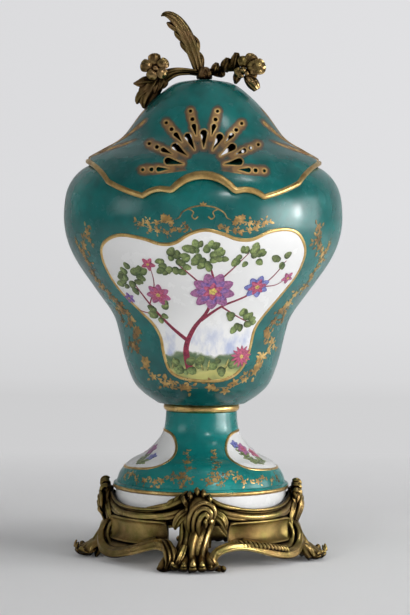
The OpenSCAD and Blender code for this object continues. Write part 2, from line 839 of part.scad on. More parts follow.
module spray_right_branch() {
    color(bronze) difference() {
        right_branch_solid(0);
        spray_clearance();
    }
}

right_flower_at = [right_reach + 7, -5, branch_z + 3];
right_aim = [65, 0, 30];
module spray_right_flower() {
    color(bronze) difference() {
        blossom(right_flower_at, right_aim, 6);
        right_branch_solid(braze_gap);
    }
}

module spray_right_buds() {
    color(bronze) difference() {
        for (at = [[0.42, -2, 5], [0.7, -3, 7.5]])
            translate([right_reach * at[0], at[1], branch_z + at[2]]) sphere(d = branch_d, $fn = 32);
        right_branch_solid(braze_gap);
    }
}

module spray_right_leaf() {
    widths = [0.5, 0.9, 1, 0.6];
    root = right_path()[2] + [1, 0, -2];
    path = [for (k = [0 : 3]) root + k / 3 * [leaf_l * 0.55, -3, -leaf_l * 0.65]];
    color(bronze) difference() {
        tube(path, leaf_w / 4 * widths, [for (w = widths) 2], facing);
        right_branch_solid(braze_gap);
        blossom(right_flower_at, right_aim, 6);
    }
}

stud_under = washer_t + nut_h + rod_end;
module spray_stud() {
    bottom = mouth_z + dome_inner_h - stud_under;
    top = spray_z + boss_h / 2 - 1;
    color(steel) translate([0, 0, bottom]) cylinder(d = stud_d, h = top - bottom, $fn = 48);
}

module spray_washer() {
    color(steel) translate([0, 0, mouth_z + dome_inner_h - washer_t])
        disc(lid_washer_d, stud_d / 2 + stud_play, washer_t);
}

vase_body();
pedestal_foot();
neck_collar();
tie_rod();
rod_pad();
rod_upper_washer();
nut(rod_top_z - rod_end - nut_h, rod_d);  // rod_upper_nut
rod_lower_washer();
nut(rod_bottom_z + rod_end, rod_d);  // rod_lower_nut
seat_ring();
cross_bar();
leg_screws();
leg(front);  // leg_front
leg(right);  // leg_right
leg(back);  // leg_back
leg(left);  // leg_left
panel(-45);  // panel_front_right
panel(45);  // panel_back_right
panel(135);  // panel_back_left
panel(-135);  // panel_front_left
top_rail(-45);  // top_rail_front_right
top_rail(45);  // top_rail_back_right
top_rail(135);  // top_rail_back_left
top_rail(-135);  // top_rail_front_left
lower_rail(0, 0);  // lower_rail_front_right
lower_rail(180, 1);  // lower_rail_back_right
lower_rail(180, 0);  // lower_rail_back_left
lower_rail(0, 1);  // lower_rail_front_left
lid();
spray_boss();
spray_plume();
spray_left_branch();
spray_left_flower();
spray_left_leaf();
spray_right_branch();
spray_right_flower();
spray_right_buds();
spray_right_leaf();
spray_stud();
spray_washer();
nut(mouth_z + dome_inner_h - washer_t - nut_h, stud_d);  // spray_nut
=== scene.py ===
import bmesh
import bpy
import math
import random
from mathutils import Matrix, Vector


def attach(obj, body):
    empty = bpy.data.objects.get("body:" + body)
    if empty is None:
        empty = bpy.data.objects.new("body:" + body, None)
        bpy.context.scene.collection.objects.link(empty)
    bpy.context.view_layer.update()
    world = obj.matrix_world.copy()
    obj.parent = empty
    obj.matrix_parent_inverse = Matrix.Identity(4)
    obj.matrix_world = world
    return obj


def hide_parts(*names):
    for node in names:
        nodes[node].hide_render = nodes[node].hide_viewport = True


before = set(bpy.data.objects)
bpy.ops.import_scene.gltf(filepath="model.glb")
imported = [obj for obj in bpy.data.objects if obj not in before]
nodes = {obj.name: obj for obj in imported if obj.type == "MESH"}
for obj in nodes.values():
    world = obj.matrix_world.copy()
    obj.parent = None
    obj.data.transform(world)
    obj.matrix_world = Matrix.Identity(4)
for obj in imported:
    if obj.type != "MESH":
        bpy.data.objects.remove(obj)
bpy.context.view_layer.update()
STAND, LID = "stand_and_vase", "lid"

# The studio: a pale paper table that sweeps up into a backdrop, a dim window at the left, a small
# one and a white card at the right, a low lamp that only gleams, and soft lights before and above.
# The paper's colour holds painted shade, darker at the left and lighter at the right. It glows
# a little for the camera with painted light, brighter higher up and to the right, and isn't
# seen from behind.
TABLE_WIDE, TABLE_DEEP, TABLE_FORWARD, BACKDROP_HIGH, SWEEP = 9, 5, 1.0, 4, 0.9
bpy.ops.object.select_all(action="DESELECT")
bpy.ops.mesh.primitive_plane_add(size=1)
table = bpy.context.object
table.name = "table_and_backdrop"
bpy.ops.object.mode_set(mode="EDIT")
bpy.ops.transform.resize(value=(TABLE_WIDE, TABLE_DEEP, 1))
bpy.ops.transform.translate(value=(0, -TABLE_FORWARD, 0))
sheet = bmesh.from_edit_mesh(table.data)
for e in sheet.edges:
    e.select_set(all(v.co.y > 1 for v in e.verts))
bpy.ops.mesh.extrude_region_move(TRANSFORM_OT_translate={"value": (0, 0, BACKDROP_HIGH)})
bpy.ops.mesh.select_all(action="DESELECT")
sheet = bmesh.from_edit_mesh(table.data)
for e in sheet.edges:
    e.select_set(all(v.co.y > 1 and v.co.z < 1 for v in e.verts))
bpy.ops.mesh.bevel(offset=SWEEP, segments=16, affect="EDGES")
bpy.ops.mesh.select_all(action="SELECT")
bpy.ops.mesh.flip_normals()
bpy.ops.object.mode_set(mode="OBJECT")
bpy.ops.object.shade_smooth()


def feed(node, **values):
    """Sets a node's sockets, or its settings, by name; a value that is a socket is linked."""
    for key, value in values.items():
        name = key.replace("_", " ")
        if isinstance(value, bpy.types.NodeSocket):
            node.id_data.links.new(value, node.inputs[name])
        elif name in node.inputs:
            node.inputs[name].default_value = value
        else:
            setattr(node, key, value)
    return node


def add(near, kind, **values):
    """A new shader node in the tree of another node or socket."""
    return feed(near.id_data.nodes.new("ShaderNode" + kind), **values)


def wired(node, *values):
    """A node's first output, its inputs set or linked in order."""
    for socket, value in zip(node.inputs, values):
        if isinstance(value, bpy.types.NodeSocket):
            node.id_data.links.new(value, socket)
        else:
            socket.default_value = value
    return node.outputs[0]


def surface(name, **values):
    """A new material, its shader, and Object coordinates."""
    m = bpy.data.materials.new(name)
    m.use_nodes = True
    shader = feed(m.node_tree.nodes["Principled BSDF"], **values)
    return m, shader, add(shader, "TexCoord").outputs["Object"]


def ramp(source, *stops):
    """A colour ramp fed by source; each stop is a place and a colour."""
    n = add(source, "ValToRGB", Fac=source)
    while len(n.color_ramp.elements) < len(stops):
        n.color_ramp.elements.new(0.5)
    for element, (place, colour) in zip(n.color_ramp.elements, stops):
        element.position = place
        element.color = (*colour, 1)
    return n.outputs["Color"]


def scaled(source, low, high, to_low, to_high):
    """Source, mapped from low and high to two other values, and held between them."""
    return add(source, "MapRange", Value=source, From_Min=low, From_Max=high, To_Min=to_low,
               To_Max=to_high).outputs["Result"]


def bumped(shader, source, strength, distance):
    """Raises the shader's surface by source."""
    n = add(shader, "Bump", Height=source, Strength=strength, Distance=distance)
    feed(shader, Normal=n.outputs["Normal"])


def speckle(place, scale, detail=4.0, rough=0.55):
    """Cloudy noise about 0.5."""
    return add(place, "TexNoise", Vector=place, Scale=scale, Detail=detail,
               Roughness=rough).outputs["Fac"]


def axes(place):
    """The X, Y and Z of a place."""
    return add(place, "SeparateXYZ", Vector=place).outputs


def calc(operation, *values):
    """A Math node on sockets and numbers."""
    near = next(v for v in values if isinstance(v, bpy.types.NodeSocket))
    return wired(add(near, "Math", operation=operation), *values)


def stained(first, second):
    """Two colours multiplied."""
    return wired(add(first, "VectorMath", operation="MULTIPLY"), first, second)


def mixed(share, below, above):
    """One colour over another, by a share from 0 to 1."""
    return wired(add(share, "MixRGB"), share, below, above)


def laid_over(share, below, above):
    """One shader over another, by a share from 0 to 1."""
    return wired(add(share, "MixShader"), share, below, above)


# Painted shade and light: darker paper at the left, a glow brighter up high and to the right.
paper, shader, place = surface("matt_paper", Roughness=0.8)
at = axes(place)
feed(shader, Base_Color=ramp(scaled(at["X"], -0.25, 0.25, 0.0, 1.0), (0.0, (0.73, 0.73, 0.735)),
                             (1.0, (0.87, 0.87, 0.875))))
bumped(shader, speckle(place, 90), 0.05, 0.001)
painted_glow_colour = ramp(scaled(at["Z"], 0.0, 0.62, 0.0, 1.0), (0.0, (0.635, 0.635, 0.642)),
                  (0.04, (0.675, 0.675, 0.684)), (0.15, (0.712, 0.712, 0.724)),
                  (0.4, (0.735, 0.735, 0.75)))
glow = add(place, "Emission", Color=painted_glow_colour,
           Strength=scaled(at["X"], -0.3, 0.3, 0.965, 1.02)).outputs[0]
seen = add(place, "LightPath").outputs["Is Camera Ray"]
far = calc("MULTIPLY", seen, scaled(at["Y"], 0.12, 0.75, 0.0, 1.0))
unseen = calc("MULTIPLY", seen, add(place, "NewGeometry").outputs["Backfacing"])
veil = laid_over(unseen, laid_over(far, shader.outputs[0], glow),
                 add(place, "BsdfTransparent").outputs[0])
feed(paper.node_tree.nodes["Material Output"], Surface=veil)
table.data.materials.append(paper)

for name, spot, aim, wide, high, watts, kind in (
    ("left_window", (-1.5, -0.75, 0.50), (0, 0, 0.2), 0.75, 0.36, 1.35, "both"),
    ("right_window", (1.55, -0.25, 0.36), (0, 0, 0.22), 0.16, 0.2, 2.5, "both"),
    ("front_lamp", (0.5, -1.3, 0.95), (0, 0, 0.2), 0.26, 0.08, 2, "both"),
    ("ceiling_lamp", (0.62, -0.42, 1.6), (0, 0, 0.3), 0.1, 0.26, 1.6, "both"),
    ("right_card", (1.3, -0.15, 0.30), (0, 0, 0.15), 1.1, 0.55, 5, "both"),
    ("right_sheen", (1.25, -0.55, 0.22), (0, 0, 0.08), 0.9, 0.5, 6, "gleam"),
    ("soft_key", (1.4, -1.25, 0.45), (0, 0, 0.2), 0.9, 0.9, 15, "matt"),
    ("soft_fill", (-0.7, -1.6, 0.5), (0, 0, 0.2), 0.9, 0.9, 8.2, "matt"),
    ("soft_top", (0.2, 0.1, 1.9), (0, 0, 0), 1.6, 1.6, 1.2, "matt"),
):
    bpy.ops.object.light_add(type="AREA", location=spot)
    lamp = bpy.context.object
    lamp.name = name
    lamp.data.shape = "RECTANGLE"
    lamp.data.size, lamp.data.size_y = wide, high
    lamp.data.energy = watts
    lamp.visible_glossy = kind != "matt"
    lamp.visible_diffuse = kind != "gleam"
    lamp.rotation_euler = (Vector(spot) - Vector(aim)).to_track_quat("Z", "Y").to_euler()
world = bpy.data.worlds.new("soft_room")
world.use_nodes = True
air = world.node_tree.nodes["Background"]
bearing = axes(add(air, "TexCoord").outputs["Generated"])
seen = add(air, "LightPath").outputs["Is Camera Ray"]
feed(air, Color=(0.80, 0.81, 0.83, 1),
     Strength=calc("MAXIMUM", scaled(bearing["X"], -0.9, 0.9, 0.02, 0.52),
                   scaled(seen, 0.0, 1.0, 0.0, 0.85)))
bpy.context.scene.world = world
bpy.context.scene.view_settings.view_transform = "Standard"

CAMERA_AWAY, CAMERA_HIGH, LENS, SENSOR = 1.8, 0.252, 148.4, 36
tilt, yaw, roll = math.radians(2.34), math.radians(-0.06), math.radians(0.5)
bpy.ops.object.camera_add(location=(0, -CAMERA_AWAY, CAMERA_HIGH))
camera = bpy.context.object
camera.data.sensor_fit = "VERTICAL"
camera.data.sensor_height = SENSOR
camera.data.lens = LENS
aimed = Matrix.Rotation(yaw, 3, "Z") @ Matrix.Rotation(math.pi / 2 - tilt, 3, "X")
camera.rotation_euler = (aimed @ Matrix.Rotation(roll, 3, "Z")).to_euler()
bpy.context.scene.camera = camera

# The hidden fixings: the seat ring and cross bar are rough bronze castings, the tie rod, nuts,
# washers and screws are plain turned steel, and the pad under the upper washer is leather.
steel, shader, place = surface("plain_steel", Metallic=1.0)
grain = speckle(place, 900)
feed(shader, Base_Color=ramp(grain, (0.3, (0.30, 0.30, 0.30)), (0.7, (0.50, 0.50, 0.49))),
     Roughness=scaled(grain, 0.3, 0.7, 0.30, 0.48))
bumped(shader, grain, 0.15, 0.0002)
leather, shader, place = surface("pad_leather")
grain = add(place, "TexVoronoi", Vector=place, Scale=1400.0).outputs["Distance"]
feed(shader, Base_Color=ramp(grain, (0.1, (0.16, 0.09, 0.05)), (0.6, (0.30, 0.19, 0.11))),
     Roughness=scaled(grain, 0, 0.7, 0.7, 0.5))
bumped(shader, grain, 0.4, 0.0003)


def bronze_finish(name, cast, reach=0.009, matt=0.26):
    """Cast, chased bronze: worn bright on what stands out, brown or nearly black in the hollows,
    partly by patina and partly as painted shade.
    """
    m, shader, place = surface(name, Metallic=1.0)
    # Painted shade: occlusion darkens the hollows, together with their patina.
    hollow_patina_and_shade = add(place, "AmbientOcclusion", Distance=reach, samples=8).outputs["AO"]
    tone = calc("ADD", scaled(hollow_patina_and_shade, 0.40, 0.97, 0.0, 1.0),
                scaled(speckle(place, 38, 5.0, 0.62), 0.3, 0.7, -0.26, 0.16))
    shades = ((0.05, (0.010, 0.006, 0.003)), (0.35, (0.055, 0.033, 0.013)),
              (0.62, (0.20, 0.130, 0.050)), (0.85, (0.47, 0.340, 0.135)), (1.0, (0.70, 0.53, 0.23)))
    cast_shades = [(at, [k * c for k, c in zip(cast, colour)]) for at, colour in shades]
    mottle = ramp(speckle(place, 85, 4.0, 0.6), (0.35, (0.70, 0.82, 0.62)),
                  (0.65, (1.12, 1.06, 1.02)))
    feed(shader, Base_Color=stained(ramp(tone, *cast_shades), mottle),
         Roughness=scaled(tone, 0.1, 1.0, 0.58, matt))
    bumped(shader, speckle(place, 330, 4.0), 0.35, 0.0006)
    return m


stand_bronze = bronze_finish("stand_bronze", (0.74, 0.69, 0.67))


def dress(node, material):
    """Gives a CAD node that stays its material."""
    o = nodes[node]
    o.data.materials.clear()
    o.data.materials.append(material)


for n in ("tie_rod", "rod_upper_washer", "rod_upper_nut", "rod_lower_washer", "rod_lower_nut",
          "leg_screws", "spray_stud", "spray_washer", "spray_nut"):
    dress(n, steel)
dress("rod_pad", leather)
for n in ("seat_ring", "cross_bar"):
    dress(n, stand_bronze)

# The four corner legs: each a bundle of scrolled strands that flows down from a rolled leaf into a
# leafy toe on the table. Cast in bronze, chased, and screwed to the seat ring from inside.
MM = 0.001
STRAND_SIDES = 20
LEAF_ACROSS = 6


def smooth(points, steps=6):
    """A smooth line through the points."""
    p = [Vector(q) for q in points]
    line = []
    for i in range(len(p) - 1):
        a, b, c, d = p[max(i - 1, 0)], p[i], p[i + 1], p[min(i + 2, len(p) - 1)]
        for k in range(steps):
            t = k / steps
            line.append(0.5 * (2 * b + (c - a) * t + (2 * a - 5 * b + 4 * c - d) * t * t
                               + (3 * b - a - 3 * c + d) * t ** 3))
    return line + [p[-1]]


def fill(values, count):
    """The given values, spread smoothly over count places."""
    line = smooth([(v, 0, 0) for v in values], 12)
    return [line[round(i * (len(line) - 1) / (count - 1))].x for i in range(count)]


def drawn(name, rings, loop=False):
    """Extrudes a face through rings of points, in millimetres, into a bar or, for loop, a hoop."""
    bpy.ops.object.select_all(action="DESELECT")
    bpy.ops.mesh.primitive_circle_add(vertices=len(rings[0]), fill_type="NGON")
    piece = bpy.context.object
    piece.name = name
    bpy.ops.object.mode_set(mode="EDIT")
    for i, ring in enumerate(rings):
        if i:
            bpy.ops.mesh.extrude_region()
        shape = bmesh.from_edit_mesh(piece.data)
        face = next(f for f in shape.faces if f.select)
        for v, p in zip(face.verts, ring):
            v.co = Vector(p) * MM
    if loop:
        bpy.ops.mesh.select_all(action="DESELECT")
        shape = bmesh.from_edit_mesh(piece.data)
        for f in shape.faces:
            f.select_set(len(f.verts) > 4)
        bpy.ops.mesh.delete(type="ONLY_FACE")
        bpy.ops.mesh.select_all(action="SELECT")
        bpy.ops.mesh.remove_doubles(threshold=1e-7)
    bpy.ops.mesh.select_all(action="SELECT")
    bpy.ops.mesh.normals_make_consistent(inside=False)
    bpy.ops.object.mode_set(mode="OBJECT")
    return piece


def frames(path, up):
    """Each point of the path with its right and its upward side."""
    found = []
    for i, p in enumerate(path):
        ahead = (path[min(i + 1, len(path) - 1)] - path[max(i - 1, 0)]).normalized()
        lift = Vector(up(p) if callable(up) else up)
        side = ahead.cross(lift).normalized()
        found.append((p, side, side.cross(ahead).normalized()))
    return found


def strand(name, points, wide, thick, up, ridges=0, steps=6):
    """A rounded bar of changing width and thickness, with ridges along its face."""
    path = smooth(points, steps)
    wide, thick = fill(wide, len(path)), fill(thick, len(path))
    rings = []
    for (p, s, u), w, t in zip(frames(path, up), wide, thick):
        ring = []
        for k in range(STRAND_SIDES):
            a = 2 * math.pi * k / STRAND_SIDES
            across, over = math.cos(a), math.sin(a)
            ridge = 0.26 * math.cos(ridges * math.pi * across) if ridges and over > 0.05 else 0
            ring.append(p + s * w * across + u * t * over * (1 + ridge))
        rings.append(ring)
    return drawn(name, rings)


def leaf(name, points, wide, thick, up, ribs=3, rib=0.5, cup=0.0, lobes=0, lobe=0.0, steps=8):
    """A leaf: ribs along its face, an edge of lobes, and sides that bend up by cup."""
    path = smooth(points, steps)
    wide, thick = fill(wide, len(path)), fill(thick, len(path))
    rings = []
    for i, ((p, s, u), w, t) in enumerate(zip(frames(path, up), wide, thick)):
        share = i / (len(path) - 1)
        w *= 1 - lobe + lobe * abs(math.sin(lobes * math.pi * share)) if lobes else 1
        top, under = [], []
        for k in range(2 * LEAF_ACROSS + 1):
            v = k / LEAF_ACROSS - 1
            body = t * math.sqrt(max(1 - v * v, 0.02))
            crest = rib * t * math.cos(ribs * math.pi * v) * (1 - v * v)
            bend = cup * w * v * v
            top.append(p + s * w * v + u * (body + crest + bend))
            under.append(p + s * w * v + u * (bend - 0.6 * body))
        rings.append(top + under[::-1])
    return drawn(name, rings)


def joined(name, pieces, material, level=1):
    """One piece of several, smoothed."""
    bpy.ops.object.select_all(action="DESELECT")
    for p in pieces:
        p.select_set(True)
    bpy.context.view_layer.objects.active = pieces[0]
    bpy.ops.object.join()
    whole = bpy.context.object
    whole.name = name
    if level:
        swell = whole.modifiers.new("swell", "SUBSURF")
        swell.levels = swell.render_levels = level
        bpy.ops.object.modifier_apply(modifier="swell")
    bpy.ops.object.shade_smooth_by_angle(angle=math.radians(50))
    whole.data.materials.clear()
    whole.data.materials.append(material)
    return whole


def settle(piece, body, slot, *replaced):
    """Attaches a finished piece to its body and hides the nodes it stands for; slot is not used."""
    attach(piece, body)
    if replaced:
        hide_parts(*replaced)
    return piece


def copy_turned(piece, name, degrees):
    """A copy with its own mesh, turned about the vase's axis."""
    twin = piece.copy()
    twin.data = piece.data.copy()
    twin.name = name
    bpy.context.scene.collection.objects.link(twin)
    twin.data.transform(Matrix.Rotation(math.radians(degrees), 4, "Z"))
    return twin


def cast_around(piece, node, *twins):
    """Settles a bronze of the stand, and its copies, each for a node some degrees further on."""
    kind = piece.name[len(node):]
    for name, degrees in twins:
        settle(copy_turned(piece, name + kind, degrees), STAND, "bronze", name)
    settle(piece, STAND, "bronze", node)


def knob(name, centre, r):
    """A small rounded lump, such as the rolled end of a scroll."""
    x, y, z = centre
    girth = [0.25 * r, 0.8 * r, r, 0.8 * r, 0.25 * r]
    return strand(name, [(x, y, z + share * r) for share in (-1, -0.6, 0, 0.6, 1)], girth, girth,
                  (0, -1, 0), steps=3)


out = (0, -1, 0.35)
leg_parts = [
    strand("core", [(-1, -63, 51), (-1, -64, 44), (-1, -63.5, 34), (-1.5, -64, 27), (-3, -67, 17),
                    (-5, -71, 8), (-6, -74, 2.6)], [4.5, 8, 9, 8.5, 9, 12, 15],
           [1.2, 1.8, 2.6, 2.6, 3.6, 3.6, 2.2], (0, -1, 0.2)),
    strand("middle", [(-3, -65, 51), (-1.5, -67.2, 45), (-0.5, -67, 37.5), (-2.2, -65.6, 29),
                      (-5, -68.6, 21), (-6.4, -73, 13), (-5.6, -77.5, 6), (-3.6, -81.5, 2.5)],
           [2.2, 3.4, 3.8, 3.2, 3.0, 3.2, 3.9, 4.6], [1.4, 2.0, 2.4, 2.2, 2.4, 2.7, 2.6, 2.0], out,
           ridges=1),
    strand("left", [(-6.5, -63.5, 50), (-8.8, -65.2, 43), (-9.4, -65, 35), (-8.8, -64, 28),
                    (-9.6, -67, 20.5), (-12, -71.5, 13), (-13.5, -76, 6), (-14.6, -79.5, 2.4)],
           [1.4, 2.4, 2.8, 2.6, 2.5, 2.8, 3.4, 4.0], [1.2, 1.8, 2.2, 2.1, 2.3, 2.5, 2.3, 1.9], out,
           ridges=1),
    strand("far_left", [(-9.5, -63, 43), (-12.2, -63.6, 36), (-12.4, -63.4, 29), (-13, -66, 21),
                        (-15.6, -70.5, 13), (-18.5, -74.5, 6), (-20.5, -77.5, 2.3)],
           [1.2, 1.9, 2.1, 2.1, 2.4, 2.8, 3.2], [1.0, 1.6, 1.8, 1.9, 2.1, 2.0, 1.6], out, ridges=1),
    strand("right", [(3.5, -64, 51), (6.4, -66, 45), (7.8, -66, 37), (5.8, -64.4, 28.5),
                     (3.2, -67, 20.5), (1.6, -72, 12.5), (2.6, -76.5, 6), (4.4, -79.5, 2.4)],
           [1.4, 2.4, 2.9, 2.6, 2.5, 2.7, 3.3, 3.8], [1.2, 1.9, 2.3, 2.1, 2.3, 2.5, 2.3, 1.9], out,
           ridges=1),
    strand("groove_line", [(-5.4, -66.6, 42), (-5.2, -66.8, 34), (-5.8, -66.4, 27), (-8, -70.2, 18),
                           (-9.8, -75, 9), (-9.4, -79, 3)], [0.8, 1.1, 1.1, 1.2, 1.4, 1.6],
           [0.8, 1.1, 1.1, 1.2, 1.3, 1.2], out),
    leaf("back_leaf", [(-1, -63.5, 32), (-1, -66.4, 38), (-1, -67.4, 44.5), (-1, -65.6, 50)],
         [6, 8.2, 7.4, 4.2], [1.6, 2.0, 1.7, 1.1], (0, -1, -0.1), cup=-0.15, lobes=4, lobe=0.24),
    strand("leaf_body", [(-1, -65, 31.4), (-1, -67.2, 36), (-1, -67.8, 43), (-1, -66.8, 49),
                         (-1, -65.6, 52.6)], [4.2, 6.6, 7.0, 5.8, 3.8], [2.0, 4.0, 4.6, 3.6, 1.8],
           (0, -1, 0.1)),
    leaf("toe_left", [(-11, -75, 7), (-15, -80, 4.6), (-18, -84, 5.2), (-19.6, -85.6, 8.6)],
         [3.4, 4.6, 3.6, 1.2], [1.8, 2.0, 1.5, 0.8], (-0.2, -0.3, 1), ribs=2, cup=-0.2, lobes=3,
         lobe=0.2),
    leaf("toe_right", [(3, -75, 7), (7, -80, 4.6), (10.5, -83.6, 5.2), (12, -85, 8.6)],
         [3.2, 4.4, 3.4, 1.2], [1.8, 2.0, 1.5, 0.8], (0.2, -0.3, 1), ribs=2, cup=-0.2, lobes=3,
         lobe=0.2),
]
for hood in (
    [(-7.6, -65.6, 25), (-8, -68.2, 33), (-6.6, -70.2, 40), (-2.4, -70.8, 45.6), (3.4, -70.8, 47.4),
     (8.4, -70.4, 44.4), (10, -70, 39.4), (8, -70, 35.6)],
    [(-4.6, -66.4, 24), (-4.8, -69.2, 32), (-3.4, -71.2, 39), (0.2, -71.8, 43), (4, -71.8, 43.4),
     (7, -71.4, 40.6), (7, -71, 37.4), (5.2, -71, 36)],
    [(-1.4, -66.8, 23), (-1.6, -69.6, 30), (-0.6, -71.6, 35.6), (1.4, -72.2, 39),
     (3.4, -72.2, 39.8), (4.8, -71.8, 38), (4.4, -71.4, 36.2), (3.4, -71.2, 35.6)],
):
    leg_parts.append(strand("hood", hood, [1.2, 1.6, 1.8, 1.9, 1.9, 1.7, 1.3, 0.7],
                            [1.1, 1.5, 1.8, 1.8, 1.8, 1.6, 1.3, 0.7], (0, -1, 0.1)))
for x, x_end, low in ((3.6, 3.4, 29.6), (6.4, 8.2, 32)):
    leg_parts.append(leaf("hood_tip", [(x, -71, 37.4), (0.5 * (x + x_end), -71.4, 34.6),
                                       (x_end, -69, low)], [1.2, 2.0, 0.5], [1.0, 1.5, 0.5],
                          (0, -1, 0.1), ribs=1, rib=0.35, cup=0.1, steps=4))
for x, x_end, top in ((-7.4, -11.4, 49.6), (-5.2, -7.2, 53), (-2.6, -2.6, 55.6), (0.2, 1.6, 54.4),
                      (3.4, 6, 51)):
    leg_parts.append(leaf("tuft", [(x, -64.2, 43), (0.5 * (x + x_end), -65.4, top - 4.6),
                                   (x_end, -66.4, top - 0.8), (x_end, -68.2, top),
                                   (x_end + 0.3, -69.9, top - 1.3),
                                   (x_end + 0.3, -69.9, top - 3.2)], [1.8, 2.5, 2.3, 2.1, 1.7, 0.9],
                          [1.5, 2.0, 1.8, 1.7, 1.5, 0.9], (0, -0.5, 1), ribs=1, rib=0.4, cup=0.1,
                          steps=5))
for x, x_end, far, tip in ((-14, -17, 85, 6.4), (-9.4, -11, 88, 9), (-4.6, -5, 89.2, 11.4),
                           (0.4, 1.2, 88, 9.6), (5, 7.4, 85, 6.4)):
    leg_parts.append(strand("finger", [(x, -69.4, 12.4), (0.5 * (x + x_end), -77, 8.2),
                                       (x_end, 5 - far, 4.6), (x_end, 1.6 - far, 4.0),
                                       (x_end, -far, 0.5 * tip + 2), (x_end, 0.8 - far, tip)],
                            [2.4, 3.0, 3.4, 3.0, 2.0, 0.6], [2.0, 2.6, 2.8, 2.0, 1.2, 0.5],
                            (0, -0.35, 1), ridges=1))
for way in (-1, 1):
    leg_parts.append(leaf("spandrel", [(5.4 * way - 1, -65, 42), (9.6 * way - 0.6, -65.6, 39.6),
                                       (14.4 * way, -64.4, 36), (17 * way, -63, 31),
                                       (17.4 * way, -62.4, 27.6)], [2.6, 3.6, 3.6, 2.6, 0.6],
                          [1.4, 1.9, 1.8, 1.4, 0.6], (0.2 * way, -1, 0.1), ribs=2, rib=0.45))
leg_front = joined("leg_front_scrolls", leg_parts, stand_bronze)
cast_around(leg_front, "leg_front", ("leg_right", 90), ("leg_back", 180), ("leg_left", 270))

# The hollow panels between the legs: smooth cast coves, brighter than the rest, each with a raised
# lip above and below and a rounded end where the openwork beside the leg begins.
panel_bronze = bronze_finish("panel_bronze", (0.86, 0.82, 0.80), 0.012, 0.46)


def polar(r, degrees, z):
    """A point from the vase's axis; 0 degrees is the front, and 90 the right."""
    a = math.radians(degrees)
    return Vector((r * math.sin(a), -r * math.cos(a), z))


PANEL_FROM, PANEL_SPAN, PANEL_STEPS = 17, 53, 28
cove = [(61.2, 33.4), (65.0, 33.4), (66.0, 32.6), (65.8, 31.6), (64.7, 31.1), (63.5, 30.2),
        (62.7, 28), (62.4, 25), (62.6, 22), (63.5, 19.6), (65.2, 18), (66.6, 17.4), (67.2, 16.6),
        (66.6, 15.8), (64, 15.4), (61.2, 15.4)]
panel_rings = []
for k in range(PANEL_STEPS + 1):
    degrees = PANEL_FROM + PANEL_SPAN * k / PANEL_STEPS
    lift = {0: 2.6, 1: 1.6, 2: 0.5}.get(min(k, PANEL_STEPS - k), 0.0)
    panel_rings.append([polar(r + (lift if 62 < r < 66 and 18 < z < 32 else 0), degrees, z)
                        for r, z in cove])
panel = joined("panel_front_right_cove", [drawn("panel", panel_rings)], panel_bronze)
cast_around(panel, "panel_front_right", ("panel_back_right", 90), ("panel_back_left", 180),
            ("panel_front_left", 270))

# The top rails: wavy bronze mouldings under the white band, a thin bead over a broad roll, that
# climb to the rolled leaves of the legs. Beside the front and back legs one kind has a fringe of
# leaves, the other a curl.
RAIL_MIDDLE, RAIL_REACH, RAIL_RADIUS, RAIL_STEPS = 45, 38.5, 63.2, 16
WEB_FROM, WEB_SPAN, WEB_STEPS = 8, 74, 28
moulding = [(-2.3, -4.6), (0.6, -4.9), (1.9, -4.2), (2.7, -2.8), (2.8, -1.2), (2.0, 0.1),
            (0.7, 0.7), (0.4, 1.3), (0.7, 1.9), (1.7, 2.3), (2.1, 3.2), (1.4, 4.1), (-2.3, 4.3)]


def rail_height(s):
    """The rail's middle line, lowest halfway and highest at both legs, where s is -1 and 1."""
    return 37.2 + 8.2 * abs(s) ** 2.4


rail_rings = []
for k in range(2 * RAIL_STEPS + 1):
    s = k / RAIL_STEPS - 1
    grow = 1 - 0.25 * abs(s) ** 6
    rail_rings.append([polar(RAIL_RADIUS + o * grow, RAIL_MIDDLE + RAIL_REACH * s,
                             rail_height(s) + h * grow) for o, h in moulding])


def around(p):
    """Away from the vase's axis."""
    return Vector((p.x, p.y, 0)).normalized() + Vector((0, 0, 0.15))


rail_curl = strand("curl", [polar(64.2, 25, 42), polar(65, 17, 43.6), polar(65.8, 10.6, 46),
                            polar(66.2, 6.6, 48.6), polar(66.4, 4.4, 50), polar(66.4, 3.4, 49)],
                   [1.2, 1.7, 1.8, 1.7, 1.3, 0.8], [1.3, 1.7, 1.8, 1.7, 1.3, 0.8], around)
web_rings = []
for k in range(WEB_STEPS + 1):
    degrees = WEB_FROM + WEB_SPAN * k / WEB_STEPS
    top = rail_height((degrees - RAIL_MIDDLE) / RAIL_REACH) - 2.5
    web_rings.append([polar(r, degrees, z) for r, z in (
        (61, 32.4), (62.8, 32.4), (63.5, 33.2), (63.1, 34.2), (62.6, top), (61, top))])
under_roll = [(63.4, 9, 40.4), (64.2, 13, 37.8), (64.4, 19, 35.8), (64.3, 27, 34.6),
              (63.8, 37, 34.2)]


def under_rolls(way):
    """The two lower rolls that part from a rail towards its legs."""
    return [strand("under_roll", [polar(r, way * turn(a), z) for r, a, z in under_roll],
                   [1.2, 1.5, 1.5, 1.3, 0.8], [1.0, 1.3, 1.3, 1.1, 0.7], around)
            for turn in (lambda a: a, lambda a: 90 - a)]


